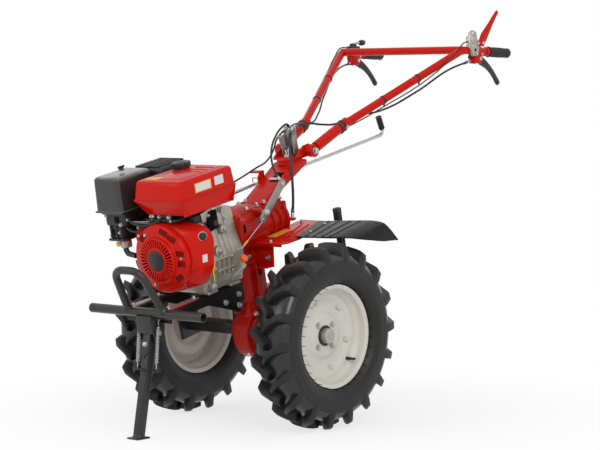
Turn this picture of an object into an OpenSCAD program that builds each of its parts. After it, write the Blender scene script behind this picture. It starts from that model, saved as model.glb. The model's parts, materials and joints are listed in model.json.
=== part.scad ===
// Two-wheel garden tiller: petrol engine on a bed ahead of an upright gearbox,
// lugged wheels, front bumper with a folding stand, and a swivelling handlebar.
// Millimetres. +X forward, +Y left, +Z up, ground at z = 0.

/* [Wheels] */
// Diameter of a tyre over its lugs
tyre_od = 600; // [580:5:620]
// Width of a tyre at its widest
tyre_w = 145; // [135:5:155]
// Height of a lug above the tread
lug_h = 29; // [20:1:32]
// Lugs on each side of a tyre
lug_count = 18; // [12:1:20]
// Distance between the middle planes of the wheels
track = 600; // [580:10:640]
// Diameter of the rim flanges
rim_od = 334; // [326:2:338]
// Width over the rim flanges
rim_w = 100; // [90:2:110]
// Depth of the wheel disc behind the outer rim flange
disc_depth = 44; // [36:1:50]

/* [Chassis] */
// Angle at which the parked chassis leans nose down
nose_down = 12; // [11:1:13]
// Length of the engine rails ahead of the axle
rail_reach = 445; // [430:5:460]
// Height of the rails' top face above the axle line
rail_top = 195; // [190:1:200]
// Half the length of the bumper crossbar
crossbar_half = 245; // [220:5:260]
// Diameter of the bumper tubes
bumper_d = 30; // [26:1:32]

/* [Engine] */
// Height of the crankshaft above the axle line
crank_z = 339; // [337:1:341]
// Length of the fuel tank
tank_l = 263; // [255:1:267]
// Width of the fuel tank
tank_w = 215; // [207:1:219]

/* [Handlebar] */
// Height of the handlebar cross tube above the ground
bar_h = 1225; // [1200:5:1260]
// Half the length of the cross tube
bar_half = 271; // [240:1:280]
// Diameter of the handlebar tubes
bar_d = 27; // [25:1:28]

/* [Hidden] */

paint_red = "#d2161c";
tube_grey = "#4a4a4c";
soft_black = "#1c1c1e";
cast_grey = "#a9a9a6";
bright_steel = "#c9cbcc";
rim_white = "#e6e4df";

fit = 0.05;                       // running fit of a shaft in its bore, radial
tyre_r = tyre_od / 2;
tread_r = tyre_r - lug_h;
rim_r = rim_od / 2;
axle_h = tyre_r;
front_reach = rail_reach + 161;   // hoop ahead of the axle
rear_reach = 1022;                // grips behind the axle
axle_x = (rear_reach - front_reach) / 2;
wheel_y = track / 2;
shaft_r = 20;                     // output shaft in the gearbox
disc_y = rim_w / 2 - disc_depth;  // wheel disc, outboard of the wheel's middle plane

gear_half = 42;                   // half width of the gear case
boss_end = 62;                    // outer face of the axle boss
gear_r = 128;                     // lower gear case
gear_z = 35;
housing_r = 92;                   // clutch housing at the engine
bell_r = 72;                      // and at its rear
bell_rear = -62;
tail_end = -184;
tail_r = 60;                      // rear end of the clutch housing
engine_back = 105;                // engine face that bolts to the clutch housing
engine_front = 352;               // front face of the blower housing
crossbar_x = rail_reach + 23;
crossbar_z = 193.5;
rail_y = [78, -116];              // near and far rail
foot_z = rail_top + 12;           // engine feet

pivot = [-331, 72, 527];          // handlebar bolt, chassis axes
swivel = [-288, 0, 505];          // swivel axis on top of the mast
stand_pin = [rail_reach + 17, 0, 128];       // stand hinge
spring_top = [stand_pin.x, 41, 168];
spring_low = 114;                 // lower spring hook, along the leg from its hinge
neck_x = 98;                      // front of the gearbox neck
hitch_face = 160;                 // rear face of the gearbox, behind the axle
pad_z = 408;                      // flat top of the clutch housing
mast_z = 402;                     // seat of the mast behind it
lever_x = -26;                    // clutch lever shaft
lever_z = 392;
lever_y = 104;
anchor_x = -176;                  // cable anchor on the rear of the housing
anchor_z = 392;
selector_x = 34;                  // gear selector on the clutch housing
selector_z = 402;
rod_y = -78;
deck = 84;                        // cylinder joint, from the crankshaft
deck_half = 84;
case_top = 112;                   // top of the crankcase above the crankshaft
cylinder_tilt = 25;
head_x = 268;                     // front face of the cylinder
elbow = [-351, 88, 968 - tyre_r]; // bend in the handlebar arm, from the axle
corner = [-775, bar_half, bar_h - tyre_r];
grip_end = [-1014, 288, 1218 - tyre_r];

// ---- places ----
module from_axle() translate([axle_x, 0, axle_h]) children();
module chassis() from_axle() rotate([0, nose_down, 0]) children();
module both_sides() { children(); mirror([0, 1, 0]) children(); }
function unit(v) = v / norm(v);
// a point in chassis axes turned into axes parallel to the ground
function level(p) = [p.x * cos(nose_down) + p.z * sin(nose_down), p.y,
    -p.x * sin(nose_down) + p.z * cos(nose_down)];
function flip(p) = [p.x, -p.y, p.z];

// ---- shapes ----
// round bar from a to b
module rod(a, b, r) {
    d = b - a;
    translate(a) rotate([0, acos(d.z / norm(d)), atan2(d.y, d.x)])
        cylinder(r = r, h = norm(d), $fn = 40);
}
// cylinder along Y between two values of y
module across(x, z, r, y0, y1) translate([x, y1, z]) rotate([90, 0, 0])
    cylinder(r = r, h = y1 - y0, $fn = 64);
// cylinder along X between two values of x
module along(y, z, r, x0, x1, sides = 96) translate([x0, y, z]) rotate([0, 90, 0])
    cylinder(r = r, h = x1 - x0, $fn = sides);
module box(x0, x1, y0, y1, z0, z1) translate([x0, y0, z0]) cube([x1 - x0, y1 - y0, z1 - z0]);
// plate in the XZ plane between two values of y
module side_plate(points, y0, y1) translate([0, y1, 0]) rotate([90, 0, 0])
    linear_extrude(height = y1 - y0) polygon(points);
// convex outline, counterclockwise, with every corner rounded to r
module round_outline(points, r) {
    n = len(points);
    polygon(points);
    for (i = [0 : n - 1]) {
        a = points[i];
        b = points[(i + 1) % n];
        out = r * [b.y - a.y, a.x - b.x] / norm(b - a);
        translate(a) circle(r = r, $fn = 48);
        polygon([a, a + out, b + out, b]);
    }
}
// outline given in (y, z), extruded along X from x0 to x1
module facing(x0, x1) translate([x0, 0, 0]) rotate([90, 0, 90])
    linear_extrude(height = x1 - x0) children();
// block with ball-rounded edges, narrowed by inset at its lower end
module soft_block(x0, x1, y0, y1, z0, z1, r, top_in = 0, low_in = 0) hull()
    for (x = [0, 1], y = [0, 1], z = [0, 1]) {
        d = r + (z == 1 ? top_in : low_in);
        translate([x == 0 ? x0 + d : x1 - d, y == 0 ? y0 + d : y1 - d,
            z == 0 ? z0 + r : z1 - r]) sphere(r = r, $fn = 20);
    }
// block with round upright edges
module round_box(x0, x1, y0, y1, z0, z1, r) translate([0, 0, z0]) linear_extrude(height = z1 - z0)
    round_outline([[x0 + r, y0 + r], [x1 - r, y0 + r], [x1 - r, y1 - r], [x0 + r, y1 - r]], r);
// round bar swept along a path; its rings keep their sides square to ref
module sweep(path, r, sides, ref) {
    last = len(path) - 1;
    ring = [for (i = [0 : last])
        let (d = unit(path[min(i + 1, last)] - path[max(i - 1, 0)]),
            side = unit(cross(d, ref)), up = cross(d, side))
        for (k = [0 : sides - 1])
            path[i] + r * (cos(k * 360 / sides) * side + sin(k * 360 / sides) * up)];
    polyhedron(points = ring, convexity = 10, faces = concat(
        [[for (k = [0 : sides - 1]) k]],
        [[for (k = [sides - 1 : -1 : 0]) last * sides + k]],
        [for (i = [0 : last - 1]) for (k = [0 : sides - 1])
            let (a = i * sides, m = (k + 1) % sides)
            [a + m, a + k, a + sides + k, a + sides + m]]));
}
// points of an arc of radius bend that rounds the corner p between a and b
bend_steps = 6;
function rounded(a, p, b, bend) =
    let (half = acos(unit(a - p) * unit(b - p)) / 2,
        start = p + unit(a - p) * bend / tan(half),
        middle = p + unit(unit(a - p) + unit(b - p)) * bend / sin(half),
        out = unit(start - middle), on = unit(p - start), turn = 180 - 2 * half)
    [for (k = [0 : bend_steps]) middle
        + bend * (out * cos(turn * k / bend_steps) + on * sin(turn * k / bend_steps))];
// bent tube through corner points
module tube(p, r, bend, ref, sides = 20) sweep([p[0],
    for (i = [1 : 1 : len(p) - 2]) each rounded(p[i - 1], p[i], p[i + 1], bend),
    p[len(p) - 1]], r, sides, ref);
// cable along hand-placed points, smoothed between them
function catmull(a, b, c, d, t) = 0.5 * (2 * b + (c - a) * t
    + (2 * a - 5 * b + 4 * c - d) * t * t + (3 * b - 3 * c + d - a) * t * t * t);
function smooth(p, n) = [for (i = [0 : len(p) - 2]) for (k = [0 : n - 1])
    catmull(p[max(i - 1, 0)], p[i], p[i + 1], p[min(i + 2, len(p) - 1)], k / n),
    p[len(p) - 1]];
module cable(points, r) sweep(smooth(points, 6), r, 8, [0, 1, 0]);

// ---- drive ----
module gearbox() color(paint_red) chassis() difference() {
    union() {
        across(-5, gear_z, gear_r, -gear_half, gear_half);
        box(-70, neck_x, -38, 38, gear_z + 20, crank_z - 60);
        both_sides() across(0, 0, 46, gear_half - 2, boss_end);
        both_sides() across(-5, gear_z + 120, 34, 30, 50);
        box(-40, 80, -48, 48, crank_z - 110, crank_z - 60);
        across(-5, gear_z, gear_r + 8, -5, 5);
        box(-hitch_face, -60, -34, 34, 0, 120);
    }
    both_sides() across(0, 0, shaft_r + fit, 20, boss_end + 1);
    housing_barrel();
}
module housing_barrel() {
    along(0, crank_z, housing_r + 15, engine_back - 14, engine_back);
    translate([bell_rear, 0, crank_z]) rotate([0, 90, 0])
        cylinder(r1 = bell_r, r2 = housing_r, h = engine_back - 13 - bell_rear, $fn = 96);
    along(0, crank_z, bell_r - 4, bell_rear - 16, bell_rear + 1);
    along(0, crank_z - 4, tail_r, tail_end, bell_rear - 8);
    for (x = [-112, -146, tail_end + 8]) along(0, crank_z - 4, tail_r + 6, x, x + 8);
}
module clutch_housing() color(paint_red) chassis() {
    housing_barrel();
    along(0, crank_z - 4, tail_r - 22, tail_end - 12, tail_end + 1);
    box(bell_rear - 4, 10, -50, 50, crank_z + 31, pad_z);
    box(-165, -70, -50, 50, crank_z + 30, mast_z);
    across(lever_x, lever_z, 14, 44, lever_y - 12);
    box(anchor_x - 9, anchor_x + 9, 36, 52, 360, anchor_z);
    translate([selector_x, rod_y, crank_z]) cylinder(r = 12, h = selector_z - crank_z, $fn = 40);
}
// mast: open channel that climbs rearward from the housing to the swivel
mast_half = 46;
mast_side = [[-82, mast_z + 6], [-262, 500], [-322, 500], [-322, 486], [-202, 437],
    [-134, mast_z + 6]];
mast_web = [[-82, mast_z + 6], [-262, 500], [-322, 500], [-322, 494], [-260, 494],
    [-96, mast_z + 6]];
module mast() color(paint_red) chassis() {
    both_sides() side_plate(mast_side, mast_half - 6, mast_half);
    side_plate(mast_web, -mast_half + 5, mast_half - 5);
    box(-165, -80, -mast_half - 6, mast_half + 6, mast_z, mast_z + 7);
    translate([swivel.x, 0, 493]) cylinder(r = 44, h = 12, $fn = 64);
}
module hitch() color(soft_black) chassis() {
    box(-hitch_face - 14, -hitch_face, -48, 48, -12, 132);
    box(-440, -hitch_face - 13, -30, 30, 20, 100);
    difference() {
        box(-516, -436, -30, 30, 10, 110);
        box(-503.3, -480.7, -11.3, 11.3, 0, 120);
        // pin hole that locks the stake, and the drawbar pin hole
        across(-455, 60, 8.5, -40, 40);
    }
}
module depth_stake() color(soft_black) chassis() {
    box(-503, -481, -11, 11, -180, 288);
    box(-499, -485, -7, 7, 287, 294);
}
// top of the fender's sheet at a distance x ahead of the axle
function sheet_z(x) = tyre_r + 0.2 - 0.03 * (x + 65);
sheet_t = 4;
module fender_bracket() color(paint_red) chassis() difference() {
    union() {
        intersection() {
            side_plate([[40, sheet_z(40) - sheet_t], [40, sheet_z(40)], [-270, sheet_z(-270)],
                [-270, sheet_z(-270) - sheet_t]], -210, 210);
            both_sides() translate([0, 0, tyre_r - 50]) linear_extrude(height = 90)
                polygon([[12, 38], [34, 140], [-65, 200], [-233, 147], [-262, 140], [-262, 38]]);
        }
        both_sides() side_plate([[-70, tyre_r - 1], [-190, tyre_r + 2], [-190, tyre_r - 24], [-70, tyre_r - 24]],
            60, 66);
    }
    housing_barrel();
}
// top skin of a wing, outward from the sheet: front y, x, z, rear y, x, z, with z from the
// height of the tyre's top
wing = [[188, -62, 3.7, 136, -236, 8.6], [262, -68, 5, 232, -251, 10],
    [320, -71, 5, 306, -261, 11], [354, -104, -1, 350, -269, 10],
    [380, -141, -13.5, 388, -268, 4], [394, -186, -28, 401, -276, -11],
    [400, -250, -47, 402, -314, -61]];
wing_t = 3;
module wing_sheet() {
    n = len(wing);
    m = 2 * n;
    top = [for (s = wing) each [[s[1], s[0], s[2] + tyre_r], [s[4], s[3], s[5] + tyre_r]]];
    // the lower skin lies square to the upper one
    low = [for (i = [0 : m - 1]) let (a = top[i < 2 ? i : i - 2], b = top[i > m - 3 ? i : i + 2],
        d = unit([0, b.y - a.y, b.z - a.z])) top[i] - wing_t * [0, -d.z, d.y]];
    polyhedron(points = concat(top, low), faces = concat(
        [for (i = [0 : 2 : m - 4]) each [[i, i + 1, i + 2], [i + 2, i + 1, i + 3]]],
        [for (i = [0 : 2 : m - 4]) each [[m + i, m + i + 2, m + i + 1],
            [m + i + 2, m + i + 3, m + i + 1]]],
        [for (i = [0 : 2 : m - 4]) each [[i, i + 2, m + i], [i + 2, m + i + 2, m + i],
            [i + 1, m + i + 1, i + 3], [i + 3, m + i + 1, m + i + 3]]],
        [[0, m, 1], [1, m, m + 1], [m - 2, m - 1, 2 * m - 2], [m - 1, 2 * m - 1, 2 * m - 2]]));
}
module left_fender() color(soft_black) chassis() wing_sheet();
module right_fender() color(soft_black) chassis() mirror([0, 1, 0]) wing_sheet();

// ---- front ----
module engine_bed() color(soft_black) chassis() {
    for (y = rail_y) {
        s = sign(y);
        box(96, rail_reach, min(y, y - 40 * s), max(y, y - 40 * s), rail_top - 5, rail_top);
        side_plate([[96, rail_top], [96, 104], [200, 104], [330, rail_top - 42],
            [rail_reach, rail_top - 34], [rail_reach, rail_top]], y - 2.5, y + 2.5);
    }
    box(rail_reach - 6, rail_reach, rail_y[1], rail_y[0], rail_top - 40, rail_top);
    box(180, 200, rail_y[1], rail_y[0], rail_top - 30, rail_top - 4);
    box(neck_x, neck_x + 8, rail_y[1] + 2, rail_y[0] - 2, 134, rail_top - 4);
}
hoop_x = crossbar_x + 64;
hoop = [[crossbar_x, 78, crossbar_z], [hoop_x, 60, 352], [hoop_x, -60, 352],
    [crossbar_x, -78, crossbar_z]];
module bumper() color(tube_grey) chassis() difference() {
    union() {
        across(crossbar_x, crossbar_z, bumper_d / 2, -crossbar_half, crossbar_half);
        tube(hoop, 12.5, 34, [0.93, 0, -0.37]);
        for (y = rail_y) box(rail_reach, crossbar_x, y - 18, y + 18, rail_top - 20, rail_top - 8);
        both_sides() side_plate([[crossbar_x - 22, 185], [crossbar_x - 22, 100],
            [crossbar_x + 10, 100], [crossbar_x + 18, 185]], 28, 33);
        across(spring_top.x, spring_top.z + 4, 3.5, -48, 48);
        box(crossbar_x + 14, crossbar_x + 20, -33, 33, 130, 185);
        across(stand_pin.x, stand_pin.z, 6, -36, 36);
    }
    both_sides() across(crossbar_x, crossbar_z, bumper_d / 2 - 3, crossbar_half - 120, crossbar_half + 1);
}
foot_at = [crossbar_x + 67, 0, -axle_h];     // middle of the stand's foot, from the axle
module stand_leg() color(tube_grey) from_axle() {
    hinge = level(stand_pin);
    lean = atan2(foot_at.x - hinge.x, hinge.z - foot_at.z);
    reach = norm(foot_at - hinge);
    difference() {
        union() {
            translate(hinge) rotate([0, -lean, 0]) {
                box(-13, 13, -15, 15, 8 - reach, 0);
                across(0, 0, 13, -15, 15);
                box(-9, 9, -48, 48, -spring_low - 8, -spring_low - 1);
            }
            translate(foot_at) box(-28, 28, -24, 24, 0, 7);
            translate(foot_at + [0, 0, 7]) cylinder(r1 = 22, r2 = 14, h = 10, $fn = 32);
        }
        translate(hinge) across(0, 0, 6 + fit, -20, 20);
    }
}
module stand_springs() color(bright_steel) from_axle() {
    hinge = level(stand_pin);
    lean = atan2(foot_at.x - hinge.x, hinge.z - foot_at.z);
    both_sides() rod(level(spring_top), hinge + [spring_low * sin(lean), spring_top.y,
        -spring_low * cos(lean)], 6.5);
}

// ---- engine ----
case_front = 290;
// right-hand outline of the crankcase about the crankshaft (y, z)
case_outline = [[62, case_top], [79, 102], [93, 20], [107, -31], [101, -92],
    [88, foot_z - crank_z + 18], [88, foot_z - crank_z]];
module crankcase() color(cast_grey) chassis() {
    out = [-cos(cylinder_tilt), sin(cylinder_tilt)];
    across_deck = [sin(cylinder_tilt), cos(cylinder_tilt)];
    translate([0, 0, crank_z]) facing(engine_back, case_front) polygon(concat(
        [[-116, foot_z - crank_z], deck * out - deck_half * across_deck,
         deck * out + deck_half * across_deck], case_outline));
    translate([0, 0, crank_z]) for (x = [112, 276]) facing(x, x + 8)
        round_outline([[50, 20], [97, -98], [104, -32], [90, 20], [76, 98]], 7);
    rod([147, 92, 236], [147, 136, 268], 11);
    for (y = rail_y, x = [150, 255]) translate([x, y - 18 * sign(y), rail_top])
        cylinder(r = 14, h = 18, $fn = 32);
}
module cylinder_axes() translate([0, 0, crank_z]) rotate([180 - cylinder_tilt, 0, 0]) children();
module cylinder_block() cylinder_axes() {
    box(150, head_x - 8, deck, 205, -46, 46);
    for (i = [0 : 8]) box(136, head_x, deck + 13 * i, deck + 13 * i + 6, -62, 62);
    box(146, head_x, 201, 222, -50, 50);
    soft_block(152, head_x - 6, 218, 252, -44, 44, 8);
}
module cylinder_node() color(cast_grey) chassis() cylinder_block();
// fan shroud: at each station x the skin wraps circles: y and z from the crankshaft, radius
shroud = [
    [case_front, [[-6, 0, 120], [-104, 66, 28], [118, 50, 44], [105, -20, 44], [80, -55, 44]]],
    [335, [[-4, 0, 114], [-102, 65, 27], [98, 48, 44], [86, -18, 44], [62, -50, 44]]],
    [engine_front, [[-2, 0, 104], [-96, 62, 24], [64, 44, 38]]]];
module blower_housing() color(paint_red) chassis() translate([0, 0, crank_z]) {
    hull() for (station = shroud, c = station[1])
        along(c[0], c[1], c[2], min(station[0], engine_front - 0.5), station[0] + 0.5, 32);
}
flange = 16;                      // thickness of the recoil starter's flange
drum = 40;                        // face of its drum ahead of the blower housing
slots = 36;
module recoil_starter() color(paint_red) chassis() translate([engine_front + 0.5, 0, crank_z])
    difference() {
        rotate([90, 0, 90]) rotate_extrude($fn = 96) polygon([[0, 0], [104, 0], [104, flange - 3],
            [101, flange], [79, flange], [76, flange + 3], [75, drum - 6], [73, drum - 1.5],
            [70, drum], [33, drum], [33, drum + 2], [30, drum + 3], [0, drum + 3]]);
        for (k = [0 : slots - 1]) rotate([k * 360 / slots, 0, 0])
            translate([drum - 6, 0, 0]) facing(0, 8) polygon([[-1.5, 40], [1.5, 40], [3, 70], [-3, 70]]);
        // louvre groups on the flange: middle y and z, turn; each has two rows of four
        for (g = [[42, 79, 28], [86, 22, 8], [85, -20, -8], [62, -66, -35]], row = [-1, 1],
            k = [-1.5 : 1.5]) translate([flange - 3, g[0], g[1]]) rotate([-g[2], 0, 0])
                translate([0, 6 * k, 7 * row]) cube([8, 2.8, 9.5], center = true);
    }
tank_x = 123;
tank_top = 590;
tank_low = 465;
tank_seam = 529;
tank_y1 = 140;
// half of the tank: seam and far outlines as [x0, x1, y0, y1], with ball-rounded corners
module pressing(seam, seam_z, far, far_z, r) hull()
    for (e = [[seam, seam_z], [far, far_z + r * sign(seam_z - far_z)]], i = [0, 1], j = [0, 1])
        translate([e[0][i] + r * (1 - 2 * i), e[0][2 + j] + r * (1 - 2 * j), e[1]])
            sphere(r = r, $fn = 20);
module fuel_tank() color(paint_red) chassis() {
    x1 = tank_x + tank_l;
    y0 = tank_y1 - tank_w;
    seam = [tank_x + 4, x1 - 4, y0 + 4, tank_y1 - 4];
    pressing(seam, tank_seam + 10, [tank_x + 11, x1 - 12, y0 + 15, tank_y1 - 4], tank_top, 11);
    pressing(seam, tank_seam - 10, [tank_x + 7, x1 - 74, y0 + 5, tank_y1 - 8], tank_low, 11);
    translate([0, 0, tank_seam - 11]) linear_extrude(height = 22) round_outline([
        [seam[0] + 11, seam[2] + 11], [seam[1] - 11, seam[2] + 11],
        [seam[1] - 11, seam[3] - 11], [seam[0] + 11, seam[3] - 11]], 11);
    translate([0, 0, tank_seam - 2]) linear_extrude(height = 4) round_outline([
        [tank_x + 15, y0 + 15], [x1 - 15, y0 + 15], [x1 - 15, tank_y1 - 15],
        [tank_x + 15, tank_y1 - 15]], 15);
    for (x = [160, 258]) box(x, x + 24, -30, 60, crank_z + case_top, tank_low + 2);
}
cap_at = [195, tank_y1 - tank_w + 49];
module fuel_cap() color(soft_black) chassis() translate([cap_at.x, cap_at.y, tank_top]) difference() {
    union() {
        cylinder(r = 24, h = 6, $fn = 48);
        translate([0, 0, 5]) cylinder(r = 32, h = 17, $fn = 64);
    }
    for (k = [0 : 11]) rotate([0, 0, 30 * k]) translate([36.5, 0, 8]) cylinder(r = 7, h = 20, $fn = 24);
}
lid_z = 592;
carb_top = 446;
module air_filter() color("#3b3b3d") chassis() {
    round_box(246, 394, -219, -114, 496, lid_z, 16);
    round_box(268, 385, -216, -118, carb_top, 497, 12);
}
module filter_lid() color("#6f7072") chassis() {
    difference() {
        soft_block(242, 398, -223, -110, 570, 616, 10, 6, 0);
        box(240, 400, -230, -100, 560, lid_z);
    }
    translate([322, -166, 614]) cylinder(r = 10, h = 8, $fn = 32);
    box(308, 336, -169, -163, 621, 629);
}
module carburettor() color(soft_black) chassis() {
    box(284, 380, -212, -138, 394, carb_top);
    along(-170, 412, 20, 370, 388);
    along(-188, 426, 18, head_x, 300);
    tube([[356, -166, 396], [356, -166, 348], [362, -118, 343]], 9, 16, [1, 0, 0]);
}
muffler_y = tank_y1 - tank_w - 74;  // middle of the silencer, beside the tank
module muffler() color("#2a2a2c") chassis() {
    round_box(114, 224, muffler_y - 57, muffler_y + 57, 494, 589, 18);
    cylinder_axes() translate([188, 176, -62]) mirror([0, 0, 1]) cylinder(r = 16, h = 40, $fn = 40);
}
module muffler_shield() color(soft_black) chassis() translate([0, muffler_y, 0]) difference() {
    box(104, 234, -67, 67, 484, 602);
    box(108, 230, -63, 63, 470, 590);
    for (k = [0 : 7]) box(116 + 14 * k, 122 + 14 * k, -51, 49, 589, 604);
    for (k = [0 : 6]) box(120 + 14 * k, 126 + 14 * k, 59, 73, 520, 580);
}
module dipstick() color("orange") chassis() {
    rod([147, 136.25, 268.2], [147, 142, 272.5], 10);
    rod([147, 142, 272.5], [147, 150, 278.5], 14);
}

// ---- controls on the chassis ----
module gear_rod() color(bright_steel) chassis()
    tube([[selector_x, rod_y, selector_z], [selector_x, rod_y, 437], [-889, rod_y, 456],
        [-875, rod_y, 516]], 6, 16, [0, 1, 0]);
module gear_knob() color(soft_black) chassis() difference() {
    rod([-885.2, rod_y, 474], [-873, rod_y, 524], 11);
    rod([-889, rod_y, 456], [-875, rod_y, 516], 6.1);
}
module clutch_lever() color(bright_steel) chassis() {
    translate([lever_x, lever_y + 3, lever_z]) rotate([90, 0, 0]) rotate([0, 0, 180 - 38.2])
        linear_extrude(height = 6) round_outline([[-36, 1], [-36, -1], [132, -1], [132, 1]], 10);
    across(lever_x, lever_z, 9, lever_y - 12, lever_y + 6);
}
module release_wire() color(bright_steel) chassis()
    cable([[2, lever_y + 4.8, 370], [30, 112, 330], [70, 118, 292], [100, 121, 268]], 1.6);
module gearbox_cable() color(soft_black) chassis()
    cable([[-293, 22, 600], [-270, 40, 588], [-248, 58, 540], [-240, 64, 480], [-212, 60, 440],
        [anchor_x - 6, 47, 414], [anchor_x, 44, anchor_z + 0.8]], 4.5);
module engine_cable() color(soft_black) chassis()
    cable([[-294, -10, 602], [-282, -62, 588], [-240, -78, 532], [-164, -76, 497],
        [-60, -76, 478], [40, -70, 464], [104, -52, crank_z + case_top + 6],
        [126, -40, crank_z + case_top + 3.6], [140, -36, crank_z + case_top + 3.2]], 3);
module lever_cable() color(soft_black) chassis()
    cable([[-294, 8, 602], [-262, 56, 626], [-226, 100, 590], [-200, 114, 540],
        [-166, 113, 496], [-130, lever_y + 6.9, 476]], 3.5);

// ---- wheels: drawn about the Y axis with the outer side at +y ----
module lug(turn) rotate([0, turn, 0]) hull()
    // each block: along the tread, across, out from the axle, block length
    for (block = [[0, -4, tread_r - 6, 22], [0, -2, tyre_r - 1, 14], [36, 50, tyre_r - 5, 20],
        [44, 66, tyre_r - 30, 22], [46, 62, tread_r - 36, 24]])
        translate([block.x, block.y, block.z]) cube([block[3], 9, 2], center = true);
module tyre() {
    rotate([90, 0, 0]) rotate_extrude($fn = 32) polygon([
        [158.2, -44], [168, -45], [172, -56], [200, -tyre_w / 2], [236, -tyre_w / 2], [262, -60],
        [tread_r, -34], [tread_r, 34], [262, 60], [236, tyre_w / 2], [200, tyre_w / 2],
        [172, 56], [168, 45], [158.2, 44]]);
    step = 360 / lug_count;
    for (i = [0 : lug_count - 1]) {
        lug(i * step);
        mirror([0, 1, 0]) lug((i + 0.5) * step);
    }
}
module rim() difference() {
    union() {
        rotate([-90, 0, 0]) rotate_extrude($fn = 96) polygon([
            [rim_r, -rim_w / 2], [rim_r, -rim_w / 2 + 3], [157, -rim_w / 2 + 5], [155, -30],
            [140, -16], [140, 10], [155, 24], [157, rim_w / 2 - 5], [rim_r, rim_w / 2 - 3],
            [rim_r, rim_w / 2], [153, rim_w / 2], [151, 24], [136, 11], [136, -18], [151, -30],
            [153, -rim_w / 2]]);
        rotate([-90, 0, 0]) rotate_extrude($fn = 96) polygon([
            [24, disc_y - 3], [64, disc_y - 3], [78, disc_y - 12], [112, disc_y - 12],
            [124, disc_y - 4], [137, disc_y - 4], [137, disc_y], [122, disc_y], [110, disc_y - 8],
            [80, disc_y - 8], [66, disc_y + 1], [24, disc_y + 1]]);
    }
    for (k = [0 : 3]) rotate([0, 90 * k + 45, 0]) across(38, 0, 5.5, disc_y - 20, disc_y + 10);
}
module hub() {
    inner = boss_end - wheel_y;   // gear case boss seen from the wheel
    across(0, 0, shaft_r, 24 - wheel_y, inner + 20);
    across(0, 0, 26, inner + 1, inner + 24);
    rotate([0, 15, 0]) box(-19, 19, inner + 20, disc_y - 11, -19, 19);
    rotate([0, 15, 0]) box(-46, 46, disc_y - 12, disc_y - 3, -46, 46);
    across(0, 0, 23, disc_y - 4, disc_y + 16);
    across(0, 0, 19, disc_y + 15, disc_y + 22);
    for (k = [0 : 3]) rotate([0, 90 * k + 45, 0]) {
        across(38, 0, 5, disc_y - 14, disc_y + 8);
        across(38, 0, 9, disc_y + 1, disc_y + 8);
    }
}
module left_wheel_place() from_axle() translate([0, wheel_y, 0]) children();
module right_wheel_place() from_axle() mirror([0, 1, 0]) translate([0, wheel_y, 0]) children();
module left_tyre() color(soft_black) left_wheel_place() tyre();
module right_tyre() color(soft_black) right_wheel_place() tyre();
module left_rim() color(rim_white) left_wheel_place() rim();
module right_rim() color(rim_white) right_wheel_place() rim();
module left_hub() color(tube_grey) left_wheel_place() hub();
module right_hub() color(tube_grey) right_wheel_place() hub();

// ---- handlebar ----
ear_y = 43;                       // inner face of a bracket ear
washer_y = 82;                    // inner face of a pivot bolt's washer
washer_r = 14;
module swivel_bracket() color(paint_red) chassis() {
    translate([swivel.x, 0, swivel.z + 0.3]) cylinder(r = 44, h = 8, $fn = 64);
    box(-345, -262, -ear_y - 6, ear_y + 6, swivel.z + 4, swivel.z + 11);
    both_sides() side_plate([[-352, 508], [-352, 540], [-312, 546], [-262, 515], [-262, 508]],
        ear_y, ear_y + 6);
    across(pivot.x, pivot.z, 8, -washer_y - 2, washer_y + 2);
    both_sides() across(pivot.x, pivot.z, washer_r, washer_y, washer_y + 6);
}
module clamp_handle() color(bright_steel) chassis() {
    translate([swivel.x, 0, swivel.z + 11]) cylinder(r = 12, h = 30, $fn = 40);
    side_plate([[-280, 542], [-268, 542], [-256, 590], [-270, 594]], -8, 8);
    box(-304, -298, -20, 32, swivel.z + 11, 606);
}
module upper_tubes() {
    both_sides() tube([elbow, corner, grip_end], bar_d / 2, 60, [0, 0, 1]);
    across(corner.x, corner.z, bar_d / 2, -bar_half, bar_half);
}
module handlebar() color(paint_red) from_axle() {
    p = level(pivot);
    upper_tubes();
    difference() {
        both_sides() {
            rod([p.x - 14, p.y, p.z + 12], elbow + 20 * unit(elbow - p), bar_d / 2 + 4);
            translate([p.x, 0, p.z]) across(0, 0, 22, 60, 80);
        }
        translate([p.x, 0, p.z]) across(0, 0, 8 + fit, -100, 100);
        both_sides() translate([p.x, 0, p.z]) across(0, 0, washer_r + 0.5, washer_y - 0.3, washer_y + 20);
    }
}
function along_grip(t) = corner + t * (grip_end - corner);
module grip() difference() {
    rod(along_grip(0.565), grip_end + 6 * unit(grip_end - corner), 17);
    rod(corner, grip_end, bar_d / 2);
}
module left_grip() color(soft_black) from_axle() grip();
module right_grip() color(soft_black) from_axle() mirror([0, 1, 0]) grip();
module squeeze_levers() from_axle() both_sides() {
    color(paint_red) difference() {
        translate(corner) box(-93, -49, -8, 18, -45, 0);
        upper_tubes();
    }
    color(soft_black) tube([corner + [-86, 5, -28], corner + [-142, 8, -54],
        corner + [-204, 11, -110]], 7, 50, [0, 1, 0]);
}
module switch_boxes() translate(corner) {
    box(-70, -22, -28, 20, 4, 34);
    box(-62, -36, -10, 26, 30, 52);
}
module switch_bracket() color(bright_steel) from_axle() difference() {
    switch_boxes();
    upper_tubes();
}
module stop_lever() color(paint_red) from_axle() difference() {
    rod(corner + [-60, 14, 26], corner + [-150, 40, 136], 7);
    switch_boxes();
}
module throttle_lever() color(soft_black) from_axle() difference() {
    translate(flip(corner)) {
        box(-88, -56, -30, 14, 4, 26);
        rod([-72, -8, 22], [-150, -28, 38], 5);
        rod([-148, -27, 37], [-164, -37, 43], 10);
    }
    upper_tubes();
}
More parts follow.
